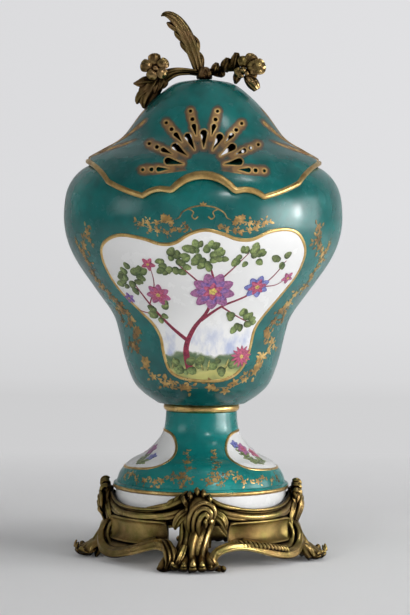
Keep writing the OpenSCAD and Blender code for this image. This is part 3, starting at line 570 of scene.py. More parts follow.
rail_right = joined("top_rail_front_right_moulding", [
    drawn("rail", rail_rings), drawn("web", web_rings), rail_curl] + under_rolls(1), stand_bronze)
fringe = [strand("sweep", [polar(64, -37 + k, 40 + 1.6 * k), polar(65.4, -25 + k, 42 + 1.9 * k),
                           polar(66, -17 + 1.4 * k, 45 + 1.4 * k),
                           polar(66.4, -11 + 1.4 * k, 48.6 + 1.2 * k),
                           polar(66.6, -7.4 + 1.2 * k, 51.6 + k)], [0.3, 1.5, 1.8, 1.6, 0.8],
                 [0.3, 1.4, 1.7, 1.5, 0.8], around) for k in range(2)]
for k in range(3):
    a = -8 - 4.2 * k
    z = 54.4 - 2.7 * k
    fringe.append(leaf(f"fringe{k}", [polar(65, a - 5, z - 5.4), polar(66.4, a - 2, z - 2.4),
                                      polar(66.6, a + 0.4, z + 0.6)], [1.2, 1.9, 0.5],
                       [1.0, 1.5, 0.5], around, ribs=1, rib=0.4, cup=0.1, steps=5))
left_rail, left_web = ([[Vector((-p.x, p.y, p.z)) for p in ring] for ring in rings]
                       for rings in (rail_rings, web_rings))
rail_left = joined("top_rail_front_left_moulding", [
    drawn("rail", left_rail), drawn("web", left_web)] + under_rolls(-1) + fringe, stand_bronze)
cast_around(rail_right, "top_rail_front_right", ("top_rail_back_left", 180))
cast_around(rail_left, "top_rail_front_left", ("top_rail_back_right", 180))

# The lower rails: each one bronze band that starts as a scroll under a side leg, sweeps in below
# the panel and curls down to the table beside the front or back leg, one kind with a row of small
# leaves, the other with a leafy foot.


def outward(p):
    """Away from the vase's axis, and up."""
    return Vector((p.x, p.y, 0)).normalized() + Vector((0, 0, 0.75))


band_start = [(63.4, 80, 29), (68, 80.5, 25.6), (71.2, 79, 20), (72.2, 75, 13), (71.5, 68, 8.6),
              (70, 58, 8), (69.4, 47, 10.4), (69.6, 36, 14.2)]
band_line = band_start + [(71, 26, 17), (73.6, 17, 17.4), (76, 9.5, 14.6), (77.6, 6.4, 9.4),
                          (78.4, 7.6, 4.6), (79, 10.6, 2.6)]
scroll_line = [(63.6, 72, 30), (66, 75, 25), (67.4, 75.5, 19), (67.4, 71, 13.6), (66.6, 65, 12.4)]


def dish(way):
    """The sloping floor between a panel's foot and the band."""
    rings = []
    for q in smooth(band_line[3:9], 4):
        low = min(q.z - 0.8, 14.4)
        rings.append([polar(r, way * q.y, z) for r, z in (
            (61.6, 16.2), (66, 16.2), (q.x - 0.6, q.z + 1.2), (q.x - 0.6, q.z - 0.8), (64, low),
            (61.6, low))])
    return drawn("dish", rings)


def lower_parts(way, line, wide, thick):
    """One lower rail's band, lip, scroll and dish; way is 1 at the right and -1 at the left."""
    return [
        strand("band", [polar(r, way * a, z) for r, a, z in line], wide, thick, outward, ridges=2),
        strand("lip", [polar(r - 5, way * a, z + 3.2) for r, a, z in line[2:9]],
               [2.4, 2.8, 2.8, 2.8, 2.8, 2.6, 2.0], [1.7, 1.9, 1.9, 1.9, 1.9, 1.8, 1.4], outward),
        strand("scroll", [polar(r, way * a, z) for r, a, z in scroll_line],
               [1.3, 1.7, 1.8, 1.7, 1.2], [1.2, 1.5, 1.6, 1.5, 1.1], outward),
        dish(way),
    ]


ROPE_LEAVES = 14
rope = [knob("curl_end", polar(79.2, 11.4, 3.0), 2.4)]
for k in range(ROPE_LEAVES):
    a = 20 + 2.75 * k
    z = 18.4 - 7.2 * (k / (ROPE_LEAVES - 1)) ** 1.3
    rope.append(leaf(f"rope{k}", [polar(68.6, a - 1.8, z + 2.2), polar(71.6, a, z + 1.9),
                                  polar(73.4, a + 1.7, z - 1.2)], [1.0, 1.5, 0.8], [0.9, 1.3, 0.8],
                     outward, ribs=1, rib=0.25, steps=3))
lower_right = joined("lower_rail_front_right_scroll", lower_parts(
    1, band_line, [2.0, 3.0, 3.6, 3.8, 4.0, 4.0, 3.8, 3.6, 3.6, 3.6, 3.4, 3.2, 3.0, 2.4],
    [1.6, 2.0, 2.4, 2.4, 2.4, 2.4, 2.4, 2.3, 2.3, 2.3, 2.2, 2.1, 2.0, 1.7]) + rope, stand_bronze)
left_line = band_start + [(71.2, 27, 17.4), (74, 21, 18), (77, 15.4, 15), (79, 13.2, 9.4),
                          (79.6, 14.6, 4.8), (80, 18.6, 2.8), (80, 21.4, 3.2)]
leafy_foot = [
    leaf("foot_leaf", [polar(71, -21, 19.4), polar(75.4, -18, 18.8), polar(79.6, -15.4, 14),
                       polar(82, -14.4, 8), polar(84, -15.4, 2.4)], [2.4, 4.0, 4.4, 4.0, 2.6],
         [1.6, 2.2, 2.2, 2.0, 1.2], outward, rib=0.6, steps=6),
    leaf("inner_leaf", [polar(73, -8.6, 18), polar(78, -9.8, 12.4), polar(81.4, -11.4, 6.6),
                        polar(83.4, -12.6, 2.4)], [2.2, 3.0, 3.2, 1.8], [1.6, 2.2, 2.2, 1.2],
         outward, ribs=2),
    leaf("foot_lobe", [polar(79, -17.6, 10), polar(82, -18.8, 5), polar(83.4, -20.6, 2.2)],
         [1.8, 2.6, 1.0], [1.4, 1.8, 0.9], outward, ribs=1, rib=0.4),
]
lower_left = joined("lower_rail_front_left_scroll", lower_parts(
    -1, left_line, [2.0, 3.0, 3.6, 3.8, 4.2, 4.2, 4.0, 4.0, 4.2, 4.4, 4.2, 3.8, 3.4, 2.8, 1.8],
    [1.6, 2.0, 2.4, 2.4, 2.4, 2.4, 2.4, 2.4, 2.4, 2.4, 2.3, 2.2, 2.0, 1.8, 1.4]) + leafy_foot,
    stand_bronze)
cast_around(lower_right, "lower_rail_front_right", ("lower_rail_back_left", 180))
cast_around(lower_left, "lower_rail_front_left", ("lower_rail_back_right", 180))

# The pedestal: thrown porcelain, white below, a gilded edge, green above, up to a narrow neck.
# Each side has a white reserve in a gold border, painted with flowers, and gold sprays lie between.


def turned(name, profile, steps=192):
    """Spins a profile of [radius, height] in millimetres about the vase's axis."""
    bpy.ops.object.select_all(action="DESELECT")
    bpy.ops.mesh.primitive_plane_add(size=0.001)
    piece = bpy.context.object
    piece.name = name
    bpy.ops.object.mode_set(mode="EDIT")
    bpy.ops.mesh.merge(type="CENTER")
    bpy.ops.transform.translate(value=(profile[0][0] * MM, 0, profile[0][1] * MM))
    for (r0, z0), (r1, z1) in zip(profile, profile[1:]):
        move = ((r1 - r0) * MM, 0, (z1 - z0) * MM)
        bpy.ops.mesh.extrude_vertices_move(TRANSFORM_OT_translate={"value": move})
    bpy.ops.mesh.select_all(action="SELECT")
    bpy.ops.mesh.spin(steps=steps, angle=2 * math.pi, center=(0, 0, 0), axis=(0, 0, 1))
    bpy.ops.mesh.select_all(action="SELECT")
    bpy.ops.mesh.remove_doubles(threshold=1e-6)
    bpy.ops.mesh.normals_make_consistent(inside=False)
    bpy.ops.object.mode_set(mode="OBJECT")
    bpy.ops.object.shade_smooth_by_angle(angle=math.radians(40))
    return piece


def flat_line(points, steps=8):
    """A smooth profile of [radius, height]."""
    return [(q.x, q.y) for q in smooth([(r, z, 0) for r, z in points], steps)]


def bead(r, z, wide, high, start, count):
    """The round of a bead's profile, from start degrees on in steps of 10."""
    return [(r + wide * math.cos(a), z + high * math.sin(a))
            for a in (math.radians(start + 10 * k) for k in range(count))]


def green_layers(place, bright):
    """The green ground: deep where the glaze pools, paler where it runs thin, in brushed clouds."""
    cloud = calc("ADD", scaled(speckle(place, 11, 5.0, 0.6), 0.0, 1.0, 0.0, 0.7),
                 scaled(speckle(place, 75, 5.0, 0.65), 0.0, 1.0, 0.0, 0.3))
    shades = ((0.34, (0.0012, 0.060, 0.058)), (0.50, (0.002, 0.116, 0.108)),
              (0.64, (0.004, 0.205, 0.188)))
    return ramp(cloud, *((at, [bright * c for c in colour]) for at, colour in shades))


def glaze_coat(shader, place):
    """The gloss of the glaze, a little uneven."""
    feed(shader, Coat_Weight=0.25, Coat_Roughness=0.16,
         Roughness=scaled(speckle(place, 60), 0.3, 0.7, 0.16, 0.32))
    bumped(shader, speckle(place, 30, 3.0), 0.16, 0.0014)


pedestal_glaze, shader, place = surface("pedestal_glaze")
feed(shader, Base_Color=green_layers(place, 1.58))
glaze_coat(shader, place)
white_glaze, shader, place = surface("white_glaze")
feed(shader, Base_Color=ramp(speckle(place, 22), (0.3, (0.74, 0.74, 0.73)),
                             (0.7, (0.80, 0.80, 0.795))))
glaze_coat(shader, place)


def gold_leaf(place):
    """Burnished gold's colour and roughness, rubbed in places."""
    rubbed = speckle(place, 120, 5.0, 0.65)
    return (ramp(rubbed, (0.28, (0.42, 0.25, 0.080)), (0.5, (0.72, 0.48, 0.180)),
                 (0.75, (0.88, 0.66, 0.30))), scaled(rubbed, 0.3, 0.7, 0.42, 0.24))


gold, shader, place = surface("burnished_gold", Metallic=1.0)
gold_colour, gold_rough = gold_leaf(place)
feed(shader, Base_Color=gold_colour, Roughness=gold_rough)
bumped(shader, speckle(place, 500), 0.12, 0.0003)

gilt_paint, shader, place = surface("painted_gold", Metallic=0.45, Roughness=0.38)
worn = calc("ADD", scaled(speckle(place, 260, 4.0, 0.6), 0.0, 1.0, 0.0, 0.5),
            scaled(speckle(place, 42, 3.0, 0.5), 0.0, 1.0, 0.0, 0.5))
feed(shader, Base_Color=ramp(worn, (0.38, (0.11, 0.064, 0.024)), (0.5, (0.36, 0.21, 0.066)),
                             (0.62, (0.68, 0.46, 0.17))))
bumped(shader, worn, 0.10, 0.0003)

pedestal_line = flat_line([(60, 55), (57, 62.5), (49.6, 69.93), (38.5, 76), (27.5, 89), (25, 105)])
band_piece = turned("pedestal_white_band", [
    (55.5, 34.02), (60.2, 34.02), (60.5, 34.4), (60.5, 50.0), (61.6, 50.3), (58, 50.4),
    (55.5, 50.4), (55.5, 34.02)])
band_piece.data.materials.append(white_glaze)
settle(band_piece, STAND, "green_glaze")
edge_piece = turned("pedestal_gilt_edge",
                    [(58, 50.35)] + bead(60.0, 52.0, 2.5, 1.75, -75, 14) + [(58, 53.4)])
edge_piece.data.materials.append(gold)
settle(edge_piece, STAND, "gilding")
foot_lip = [(58, 52.8), (61.9, 53.1), (62.2, 53.6), (61.8, 54.4), (60.8, 54.9)]
pedestal_in = [(4, 105), (4, 98), (20, 98), (22.5, 89.5), (34.5, 72), (51, 60.5), (55, 55)]
pedestal = turned("pedestal_green", foot_lip + pedestal_line + pedestal_in + foot_lip[:1])
pedestal.data.materials.append(pedestal_glaze)
settle(pedestal, STAND, "green_glaze", "pedestal_foot")


def skin(line, degrees, z, lift=0.0):
    """A point of a turned surface, lift millimetres above it."""
    for (r0, z0), (r1, z1) in zip(line, line[1:]):
        if (z - z0) * (z - z1) <= 0 and z0 != z1:
            break
    run = math.copysign(math.hypot(r1 - r0, z1 - z0), z1 - z0)
    return polar(r0 + (r1 - r0) * (z - z0) / (z1 - z0) + lift * (z1 - z0) / run, degrees,
                 z - lift * (r1 - r0) / run)


def radius(line, z):
    """A turned surface's radius at a height."""
    return -skin(line, 0, z).y


def beside(line, spot, across, along):
    """The [degrees, height] that lies across and along the surface from a spot, in millimetres."""
    degrees, z = spot
    z += along * 0.4 / (skin(line, 0, z + 0.4) - skin(line, 0, z)).length
    return degrees + math.degrees(across / radius(line, z)), z


def rounded(points, steps=5):
    """A smooth closed line through the points."""
    line = smooth([(a, z, 0) for a, z in points[-1:] + points + points[:2]], steps)
    return [(q.x, q.y) for q in line[steps:steps * (len(points) + 1)]]


def inlay(name, line, outline, centre, material, rings=16):
    """A thin sheet on a turned surface, inside an outline of [degrees, height]."""
    def ring(share, lift):
        return [skin(line, centre[0] + (a - centre[0]) * share, centre[1] + (z - centre[1]) * share,
                     lift) for a, z in outline]
    shares = [0.02] + [(k + 1) / rings for k in range(rings)]
    return joined(name, [drawn(name, [ring(s, 0.15) for s in shares]
                               + [ring(s, -0.4) for s in shares[::-1]])], material, 0)


def trim(name, line, path, wide, high, loop=False):
    """A low rounded ridge along a path of [degrees, height] on a turned surface."""
    rings = []
    count = len(path)
    wide = fill(wide, count)
    for i, (a, z) in enumerate(path):
        if loop:
            before, after = path[i - 1], path[(i + 1) % count]
        else:
            before, after = path[max(i - 1, 0)], path[min(i + 1, count - 1)]
        p = skin(line, a, z)
        up = skin(line, a, z, 1) - p
        side = (skin(line, *after) - skin(line, *before)).cross(up).normalized()
        rings.append([p + side * wide[i] * math.cos(t) + up * high * math.sin(t)
                      for t in (math.pi * k / 5 for k in range(10))])
    return drawn(name, rings + rings[:1] if loop else rings, loop)


bpy.ops.object.select_all(action="DESELECT")
bpy.ops.mesh.primitive_circle_add(vertices=12, radius=0.5, fill_type="TRIFAN")
blade = bpy.context.object
bpy.ops.object.mode_set(mode="EDIT")
bpy.ops.mesh.extrude_region_move(TRANSFORM_OT_translate={"value": (0, 0, 1)})
bpy.ops.mesh.select_all(action="SELECT")
bpy.ops.transform.translate(value=(0, 0.5, 0))
bpy.ops.mesh.normals_make_consistent(inside=False)
bpy.ops.object.mode_set(mode="OBJECT")
for v in blade.data.vertices:
    v.co.x *= 1.2 - 0.5 * v.co.y
    if v.co.z > 0.5 and abs(v.co.x) + abs(v.co.y - 0.5) < 0.01:
        v.co.z = 1.5


def strew(name, line, spots, material):
    """Blades on a turned surface: each a place, turn, length, width, height and two colours."""
    copies = []
    for place, turn, length, width, high, dark, light in spots:
        twin = blade.copy()
        twin.data = blade.data.copy()
        bpy.context.scene.collection.objects.link(twin)
        shades = twin.data.color_attributes.new("paint", "FLOAT_COLOR", "POINT")
        c, s = math.cos(math.radians(turn)), math.sin(math.radians(turn))
        for v in twin.data.vertices:
            x, y, h = v.co
            t = min(max(0.1 + 0.35 * y - 0.6 * x * c + (0.4 if h > 1.2 else 0), 0), 1)
            shades.data[v.index].color = [d + (l - d) * t for d, l in zip(dark, light)] + [1]
            spot = beside(line, place, width * x * c + length * y * s,
                          length * y * c - width * x * s)
            v.co = skin(line, *spot, high + 0.3 * (h - 1) if h else -0.3) * MM
        copies.append(twin)
    return joined(name, copies, material, 0)


def tint(piece, colour):
    """Gives the whole piece one colour of enamel."""
    shades = piece.data.color_attributes.new("paint", "FLOAT_COLOR", "POINT")
    for shade in shades.data:
        shade.color = (*colour, 1)
    return piece


enamel, shader, place = surface("painted_enamel", Roughness=0.28)
brushed = ramp(speckle(place, 620, 4.0, 0.7), (0.36, (0.50, 0.52, 0.56)), (0.64, (1.35, 1.3, 1.2)))
paint = add(place, "VertexColor", layer_name="paint").outputs["Color"]
feed(shader, Base_Color=stained(paint, brushed))
bumped(shader, speckle(place, 700), 0.08, 0.0003)

PLAIN = (1, 1, 1)
leaf_dark, leaf_light = (0.016, 0.042, 0.010), (0.36, 0.46, 0.17)
mauve_dark, mauve_light = (0.200, 0.045, 0.160), (0.480, 0.215, 0.430)
rose_dark, rose_light = (0.300, 0.022, 0.085), (0.620, 0.170, 0.290)
blue_dark, blue_light = (0.045, 0.060, 0.330), (0.300, 0.330, 0.640)
straw_dark, straw_light = (0.420, 0.300, 0.050), (0.760, 0.640, 0.210)
stem_red = (0.235, 0.022, 0.055)


def bloom(spot, size, petals, turn, dark, light, high=0.4, slim=0.72):
    """The petals of one flat flower."""
    return [(spot, turn + 360 * k / petals, size, slim * size, high, dark, light)
            for k in range(petals)]


def sprig(line, path, every, size, seed, high=0.3, dark=PLAIN, light=PLAIN):
    """Leaves on both sides of a trail of [degrees, height]."""
    dice = random.Random(seed)
    spots, gone = [], every
    for (a, z), (b, w) in zip(path, path[1:]):
        run = (skin(line, b, w) - skin(line, a, z)).length
        across = math.radians(b - a) * radius(line, z)
        along = math.copysign(math.sqrt(max(run * run - across * across, 1e-6)), w - z)
        turn = math.degrees(math.atan2(across, along))
        gone += run
        if gone > every:
            gone = 0
            for side in (-1, 1):
                length = size * dice.uniform(0.7, 1.25)
                spots.append(((a, z), turn + side * dice.uniform(25, 70), length, 0.55 * length,
                              high, dark, light))
    return spots


def scatter(line, path, every, size, seed, loose=1.6):
    """Small gold flowers with a few leaves, along a trail and up to loose millimetres from it."""
    dice = random.Random(seed)
    spots, gone = [], 0.7 * every
    for (a, z), (b, w) in zip(path, path[1:]):
        gone += (skin(line, b, w) - skin(line, a, z)).length
        if gone > every:
            gone = 0
            spot = beside(line, (a, z), dice.uniform(-loose, loose), dice.uniform(-loose, loose))
            petal = size * dice.uniform(0.8, 1.2)
            spots += bloom(spot, petal, 5, dice.uniform(0, 72), PLAIN, PLAIN, 0.26, 0.5)
            for k in range(dice.randint(2, 4)):
                turn = math.radians(dice.uniform(0, 360))
                near = beside(line, spot, 1.2 * petal * math.sin(turn),
                              1.2 * petal * math.cos(turn))
                spots.append((near, math.degrees(turn) + dice.uniform(-50, 50), petal, 0.5 * petal,
                              0.22, PLAIN, PLAIN))
    return spots


def trail(points, steps=6):
    """A smooth line of [degrees, height]."""
    return [(q.x, q.y) for q in smooth([(a, z, 0) for a, z in points], steps)]


def on_both_sides(here, there, *pieces):
    """Settles ornaments and their copies on the vase's other side."""
    for piece, slot in pieces:
        settle(copy_turned(piece, piece.name.replace(here, there), 180), STAND, slot)
        settle(piece, STAND, slot)


def mirrored(points, about):
    """The points, turned over about a direction in degrees."""
    return [(2 * about - a, z) for a, z in points]


right_half = [(90, 91.5), (68, 91.2), (52, 90), (40, 86.6), (32, 81.5), (29.5, 77), (31, 72.6),
              (36, 69.4), (46, 67.2), (66, 66)]
side_outline = rounded(right_half + [(90, 65.6)] + mirrored(right_half[:0:-1], 90))
side_reserve = inlay("pedestal_right_reserve", pedestal_line, side_outline, (90, 76), white_glaze,
                     12)
side_border = joined("pedestal_right_border", [
    trim("border", pedestal_line, side_outline, [1.0, 1.0], 0.45, True)], gold, 0)
flower_spots = []
for flower in (
    ((57, 79.5), 6.0, 6, 20, mauve_dark, mauve_light),
    ((57, 79.5), 3.2, 5, 50, rose_dark, rose_light, 0.5),
    ((48, 83), 3.8, 5, 0, blue_dark, blue_light), ((72, 76), 4.8, 6, 10, rose_dark, rose_light),
    ((108, 78), 5.6, 6, 10, mauve_dark, mauve_light), ((124, 74), 4.6, 5, 0, blue_dark, blue_light),
):
    flower_spots += bloom(*flower)
for seed, points in enumerate((
    [(54, 70.5), (55, 74.5), (57, 79)], [(54, 70.5), (49, 76), (48, 82)],
    [(55, 70.5), (66, 71.5), (73, 75.5)], [(120, 69.5), (114, 72), (108, 77)],
    [(120, 69.5), (123, 71), (125, 74)],
)):
    flower_spots += sprig(pedestal_line, trail(points), 1.9, 4.4, seed, 0.3, leaf_dark, leaf_light)
side_flowers = strew("pedestal_right_flowers", pedestal_line, flower_spots, enamel)
on_both_sides("right", "left", (side_reserve, "green_glaze"), (side_border, "gilding"),
              (side_flowers, "green_glaze"))

gilt_spots = []
for seed, way in enumerate((1, -1)):
    for number, (points, every, size) in enumerate((
        ([(12.5, 58), (11, 64), (10.5, 70), (13.5, 75), (14.5, 81)], 4.2, 1.8),
        ([(5, 59.2), (11, 62), (18, 63.4), (28, 61.4), (38, 60), (54, 60.6), (68, 60)], 6.4, 2.2),
        ([(20, 65), (25, 66.4)], 4.0, 1.6),
    )):
        path = [(way * a, z) for a, z in trail(points)]
        gilt_spots += scatter(pedestal_line, path, every, size, 7 * seed + number, 2.6)
        gilt_spots += sprig(pedestal_line, path, 6.0, 2.2, 9 * seed + number, 0.2)
pedestal_sprays = strew("pedestal_front_sprays", pedestal_line, gilt_spots, gilt_paint)
on_both_sides("front", "back", (pedestal_sprays, "gilding"))

# The collar: a gilded bead of turned porcelain between the pedestal's neck and the body, held by
# the tie rod that runs through all three.
collar = turned("neck_collar_gilt", [(4, 105.02), (23.6, 105.02)] + bead(24, 108, 3, 2.95, -80, 17)
                + [(23.6, 110.98), (4, 110.98), (4, 105.02)])
collar.data.materials.append(gold)
settle(collar, STAND, "gilding", "neck_collar")

# The body: a baluster of porcelain, thrown in one piece and glazed green. Front and back have a
# white reserve in a raised gold border, painted with a flower spray, and gold trails around it.
body_line = flat_line([
    (31.5, 111), (42, 118.5), (49, 127), (55, 144), (59, 161), (63.5, 174), (75.5, 191), (90, 212),
    (97, 229), (98.65, 246), (95.5, 263.5), (85.5, 276), (69, 283)])
green_glaze, shader, place = surface("green_glaze")
feed(shader, Base_Color=green_layers(place, 0.95))
glaze_coat(shader, place)
body_in = [(max(r - 5, 4), z) for r, z in body_line if 119 < z < 277]
body = turned("vase_body_glazed", [(4, 111.02)] + body_line + [(64, 283), (64, 278)] + body_in[::-1]
              + [(24, 116), (4, 116), (4, 111.02)], 224)
body.data.materials.append(green_glaze)
settle(body, STAND, "green_glaze", "vase_body")

reserve_outline = rounded([
    (-35, 230.4), (-24.8, 228.2), (-17.6, 224.7), (-11.4, 225.5), (-5.3, 231.7), (1.2, 234.5),
    (7.8, 231.9), (13.9, 228.3), (20.2, 228.3), (27.1, 233.4), (34.8, 235.2), (41.8, 232.1),
    (47.7, 221.7), (49.5, 211.6), (49.4, 200.1), (45.2, 185.7), (41.3, 175.3), (36.8, 165.1),
    (35.8, 154.6), (33.9, 144.3), (28.3, 135.3), (16.8, 130.3), (-0.9, 129.6), (-17.2, 131.9),
    (-25.4, 137.6), (-28.1, 149.4), (-29.1, 159.5), (-33.2, 168.4), (-40, 177.2), (-48.1, 191.4),
    (-49.7, 205.3), (-47.9, 219.4), (-43, 226.6)])


reserve_ground, shader, place = surface("painted_ground")
at = axes(place)
stroke = add(place, "Mapping", Vector=place, Scale=(1.0, 1.0, 0.45),
             Rotation=(0, math.radians(28), 0)).outputs[0]
hill_share = calc("MULTIPLY", scaled(speckle(stroke, 95, 4.0), 0.45, 0.62, 0.0, 0.85),
                  scaled(at["Z"], 0.172, 0.156, 0.0, 1.0))
hills = mixed(hill_share, (0.78, 0.78, 0.775, 1), (0.36, 0.42, 0.62, 1))
rise = calc("ADD", at["Z"], scaled(speckle(place, 70, 4.0), 0.3, 0.7, -0.0035, 0.0035))
grass = ramp(scaled(rise, 0.128, 0.149, 0.0, 1.0), (0.0, (0.20, 0.23, 0.09)),
             (0.22, (0.42, 0.41, 0.13)), (0.40, (0.50, 0.47, 0.16)), (0.62, (0.17, 0.23, 0.10)),
             (0.85, (0.08, 0.14, 0.07)), (1.0, (0.24, 0.28, 0.17)))
ground = mixed(scaled(rise, 0.1495, 0.1475, 0.0, 1.0), hills, grass)
feed(shader, Base_Color=ground)
glaze_coat(shader, place)
reserve = inlay("front_reserve", body_line, reserve_outline, (0, 185), reserve_ground, 24)
reserve_border = joined("front_reserve_border", [
    trim("border", body_line, reserve_outline, [1.25, 1.25], 0.6, True)], gold, 0)


def face(x, z):
    """The [degrees, height] of a place seen straight from the front."""
    return math.degrees(math.asin(x / radius(body_line, z))), z


def tuft(x, z, wide, high, count, seed):
    """A cluster of round leaves about a place on the front."""
    dice = random.Random(seed)
    spots = []
    for k in range(count):
        turn, far = dice.uniform(0, 2 * math.pi), math.sqrt(dice.uniform(0.02, 1))
        length = dice.uniform(4.8, 7.6)
        shade, tone = dice.uniform(0.4, 1.6), dice.uniform(0.55, 1.25)
        spots.append((face(x + wide * far * math.sin(turn), z + high * far * math.cos(turn)),
                      math.degrees(turn) + dice.uniform(-50, 50), length, 0.82 * length,
                      0.4 + 0.2 * dice.random(), [shade * c for c in leaf_dark],
                      [tone * c for c in leaf_light]))
    return spots


stems = []
flower_spots = []
for seed, (points, wide) in enumerate((
    ([(-8, 137), (-11, 152), (-6, 166), (4, 180), (8, 197), (4, 213)],
     [2.9, 2.2, 1.7, 1.3, 1.0, 0.6]),
    ([(-1, 172), (13, 182), (31, 190), (47, 202), (57, 214)], [1.3, 1.1, 0.9, 0.6, 0.3]),
    ([(40, 196), (50, 197), (58, 202)], [0.6, 0.45, 0.25]),
    ([(-10, 158), (-22, 168), (-36, 183), (-48, 199)], [1.5, 1.2, 0.9, 0.5]),
    ([(-30, 176), (-42, 178), (-50, 186)], [0.6, 0.5, 0.3]),
    ([(13, 182), (24, 175), (33, 170)], [0.8, 0.6, 0.3]),
    ([(7, 190), (-6, 202), (-18, 212)], [0.9, 0.7, 0.4]),
    ([(7, 196), (20, 208), (31, 219)], [0.8, 0.6, 0.3]),
    ([(-36, 183), (-33, 197), (-36, 210)], [0.6, 0.45, 0.25]),
)):
    stems.append(trim(f"stem{seed}", body_line, [face(x, z) for x, z in trail(points, 7)], wide,
                      0.42))
for seed, (x, z, wide, high, count) in enumerate((
    (2, 217, 12, 7, 26), (-21, 212, 8, 6, 16), (-49, 202, 8, 8, 20), (-28, 178, 5, 5, 9),
    (26, 171, 7, 5, 14), (31, 217, 8, 5, 14), (54, 214, 4, 3, 6), (-10, 140, 9, 3, 12),
    (12, 141, 6, 2, 6),
)):
    flower_spots += tuft(x, z, wide, high, count, seed + 3)
for x, z, size, petals, dark, light in (
    (7, 193, 15.5, 9, mauve_dark, mauve_light), (37, 196, 9.5, 7, blue_dark, blue_light),
    (-30, 190, 9.0, 7, rose_dark, mauve_light), (-37, 211, 5.4, 5, rose_dark, rose_light),
    (58, 202, 5.0, 5, mauve_dark, rose_light), (27, 147, 8.0, 13, rose_dark, rose_light),
    (-50, 187, 4.6, 5, blue_dark, mauve_light),
):
    spot = face(x, z)
    flower_spots += bloom(spot, size, petals, 3 * x, dark, light, 0.65,
                          0.62 if petals < 12 else 0.26)
    if size > 7:
        flower_spots += bloom(spot, 0.72 * size, petals - 1, 3 * x + 20,
                              blue_dark if dark == mauve_dark else rose_dark,
                              mauve_light if dark == mauve_dark else rose_light, 0.78,
                              0.55 if petals < 12 else 0.3)
        flower_spots += bloom(spot, 0.48 * size, 6, 3 * x + 40, rose_dark, rose_light, 0.9, 0.6)
    flower_spots += bloom(spot, 0.2 * size, 5, 2 * x, straw_dark, straw_light, 1.0, 0.9)
for x, z, turn in ((-22, 138, -24), (-18, 138, -6), (-20, 138, 10), (16, 138, 14), (20, 138, 34),
                   (1, 137, -18), (4, 137, 8)):
    flower_spots.append((face(x, z), turn, 8, 1.5, 0.4, leaf_dark, straw_light))
flower_stems = tint(joined("front_flower_stems", stems, enamel, 0), stem_red)
flowers = strew("front_flowers", body_line, flower_spots, enamel)

side_trail = [(52, 236), (57, 228), (62, 217), (65, 205), (65, 196), (60, 188), (57.5, 180),
              (54, 172), (48.5, 165), (53, 157), (55, 150), (48, 145), (47, 137), (37, 130.5),
              (28, 126), (14, 124.6), (3, 124.4)]
lines, gilt_spots = [], []
for seed, way in enumerate((1, -1)):
    for number, (points, every, size) in enumerate((
        (side_trail, 6.0, 3.5),
        ([(15, 241.4), (19, 239.2), (23, 238.6), (28, 240.4)], 5.0, 1.9),
        ([(6, 236.2), (10, 234.6), (15, 233.4), (20, 234.6), (24, 237.2)], 4.6, 1.8),
        ([(57.5, 180), (63, 176), (66, 169)], 6.0, 2.2),
        ([(55, 150), (61, 153), (66, 151)], 6.0, 2.2),
        ([(62, 217), (66, 222), (67, 229)], 5.0, 1.8),
    )):
        path = [(way * a, z) for a, z in trail(points, 5)]
        lines.append(trim("stalk", body_line, path, [0.2, 0.2], 0.18))
        gilt_spots += scatter(body_line, path, every, size, seed * 31 + number,
                              3.4 if points is side_trail else 1.4)
        gilt_spots += sprig(body_line, path, 10 if points is side_trail else 5, 2.8,
                            seed * 17 + number, 0.2)
    for a, z, size in ((13.8, 241.8, 3.0), (12.6, 239.6, 2.4), (15.6, 243.2, 2.4), (57.5, 180, 3.4),
                       (48.5, 164, 3.4), (47, 140, 3.2)):
        gilt_spots += bloom((way * a, z), size, 6, 23 * a, PLAIN, PLAIN, 0.3, 0.6)
    scroll = trail([(2.0, 243.6), (3.2, 241.8), (4.4, 243.6), (3.8, 246.4), (5.8, 248.4),
                    (8.2, 246.2), (9.4, 242.8), (11, 241.4)], 5)
    lines.append(trim("scroll", body_line, [(way * a, z) for a, z in scroll],
                      [0.5, 0.45, 0.4, 0.4, 0.45, 0.45, 0.4, 0.3], 0.25))
arch = trail([(-8.4, 246), (-5, 249.4), (0, 250.8), (5, 249.4), (8.4, 246)])
lines.append(trim("arch", body_line, arch, [0.35, 0.5, 0.5, 0.5, 0.35], 0.25))
gilt_spots += [((0, 250.4), turn, 3.2, 1.4, 0.25, PLAIN, PLAIN) for turn in (-45, 0, 45)]
gilt_lines = joined("front_gilt_lines", lines, gilt_paint, 0)
gilt_leaves = strew("front_gilt_leaves", body_line, gilt_spots, gilt_paint)
on_both_sides("front", "back", (reserve, "green_glaze"), (reserve_border, "gilding"),
              (flower_stems, "green_glaze"), (flowers, "green_glaze"), (gilt_lines, "gilding"),
              (gilt_leaves, "gilding"))
bpy.data.objects.remove(blade)

# The lid: a porcelain dome that flares to a scalloped skirt over the shoulder, with four pierced
# fans of gilded petals and rays and a gold rim. It lies on the mouth, and a flange inside keeps it
# central.
lid_line = flat_line([
    (2.7, 340), (10.75, 339.1), (21.5, 336.5), (33, 327.9), (44.5, 316), (57.5, 299), (71.4, 290.3),
    (81.5, 284.5), (87.9, 279.2), (99.15, 265.1), (103, 246.2)])
under = flat_line([(99.8, 246), (96.2, 263.9), (86.0, 276.6), (69.6, 283.6)], 6)
hollow = flat_line([(59, 291.6), (53, 296.5), (40.4, 313.1), (29.6, 324.2), (19.5, 331.9),
                    (10.2, 334.4), (2.7, 335)], 6)
lid_profile = lid_line + under + [(63, 283.1), (63, 273.6), (59, 273.6)] + hollow + [(2.7, 340)]
lid = turned("lid_glazed", lid_profile, 256)


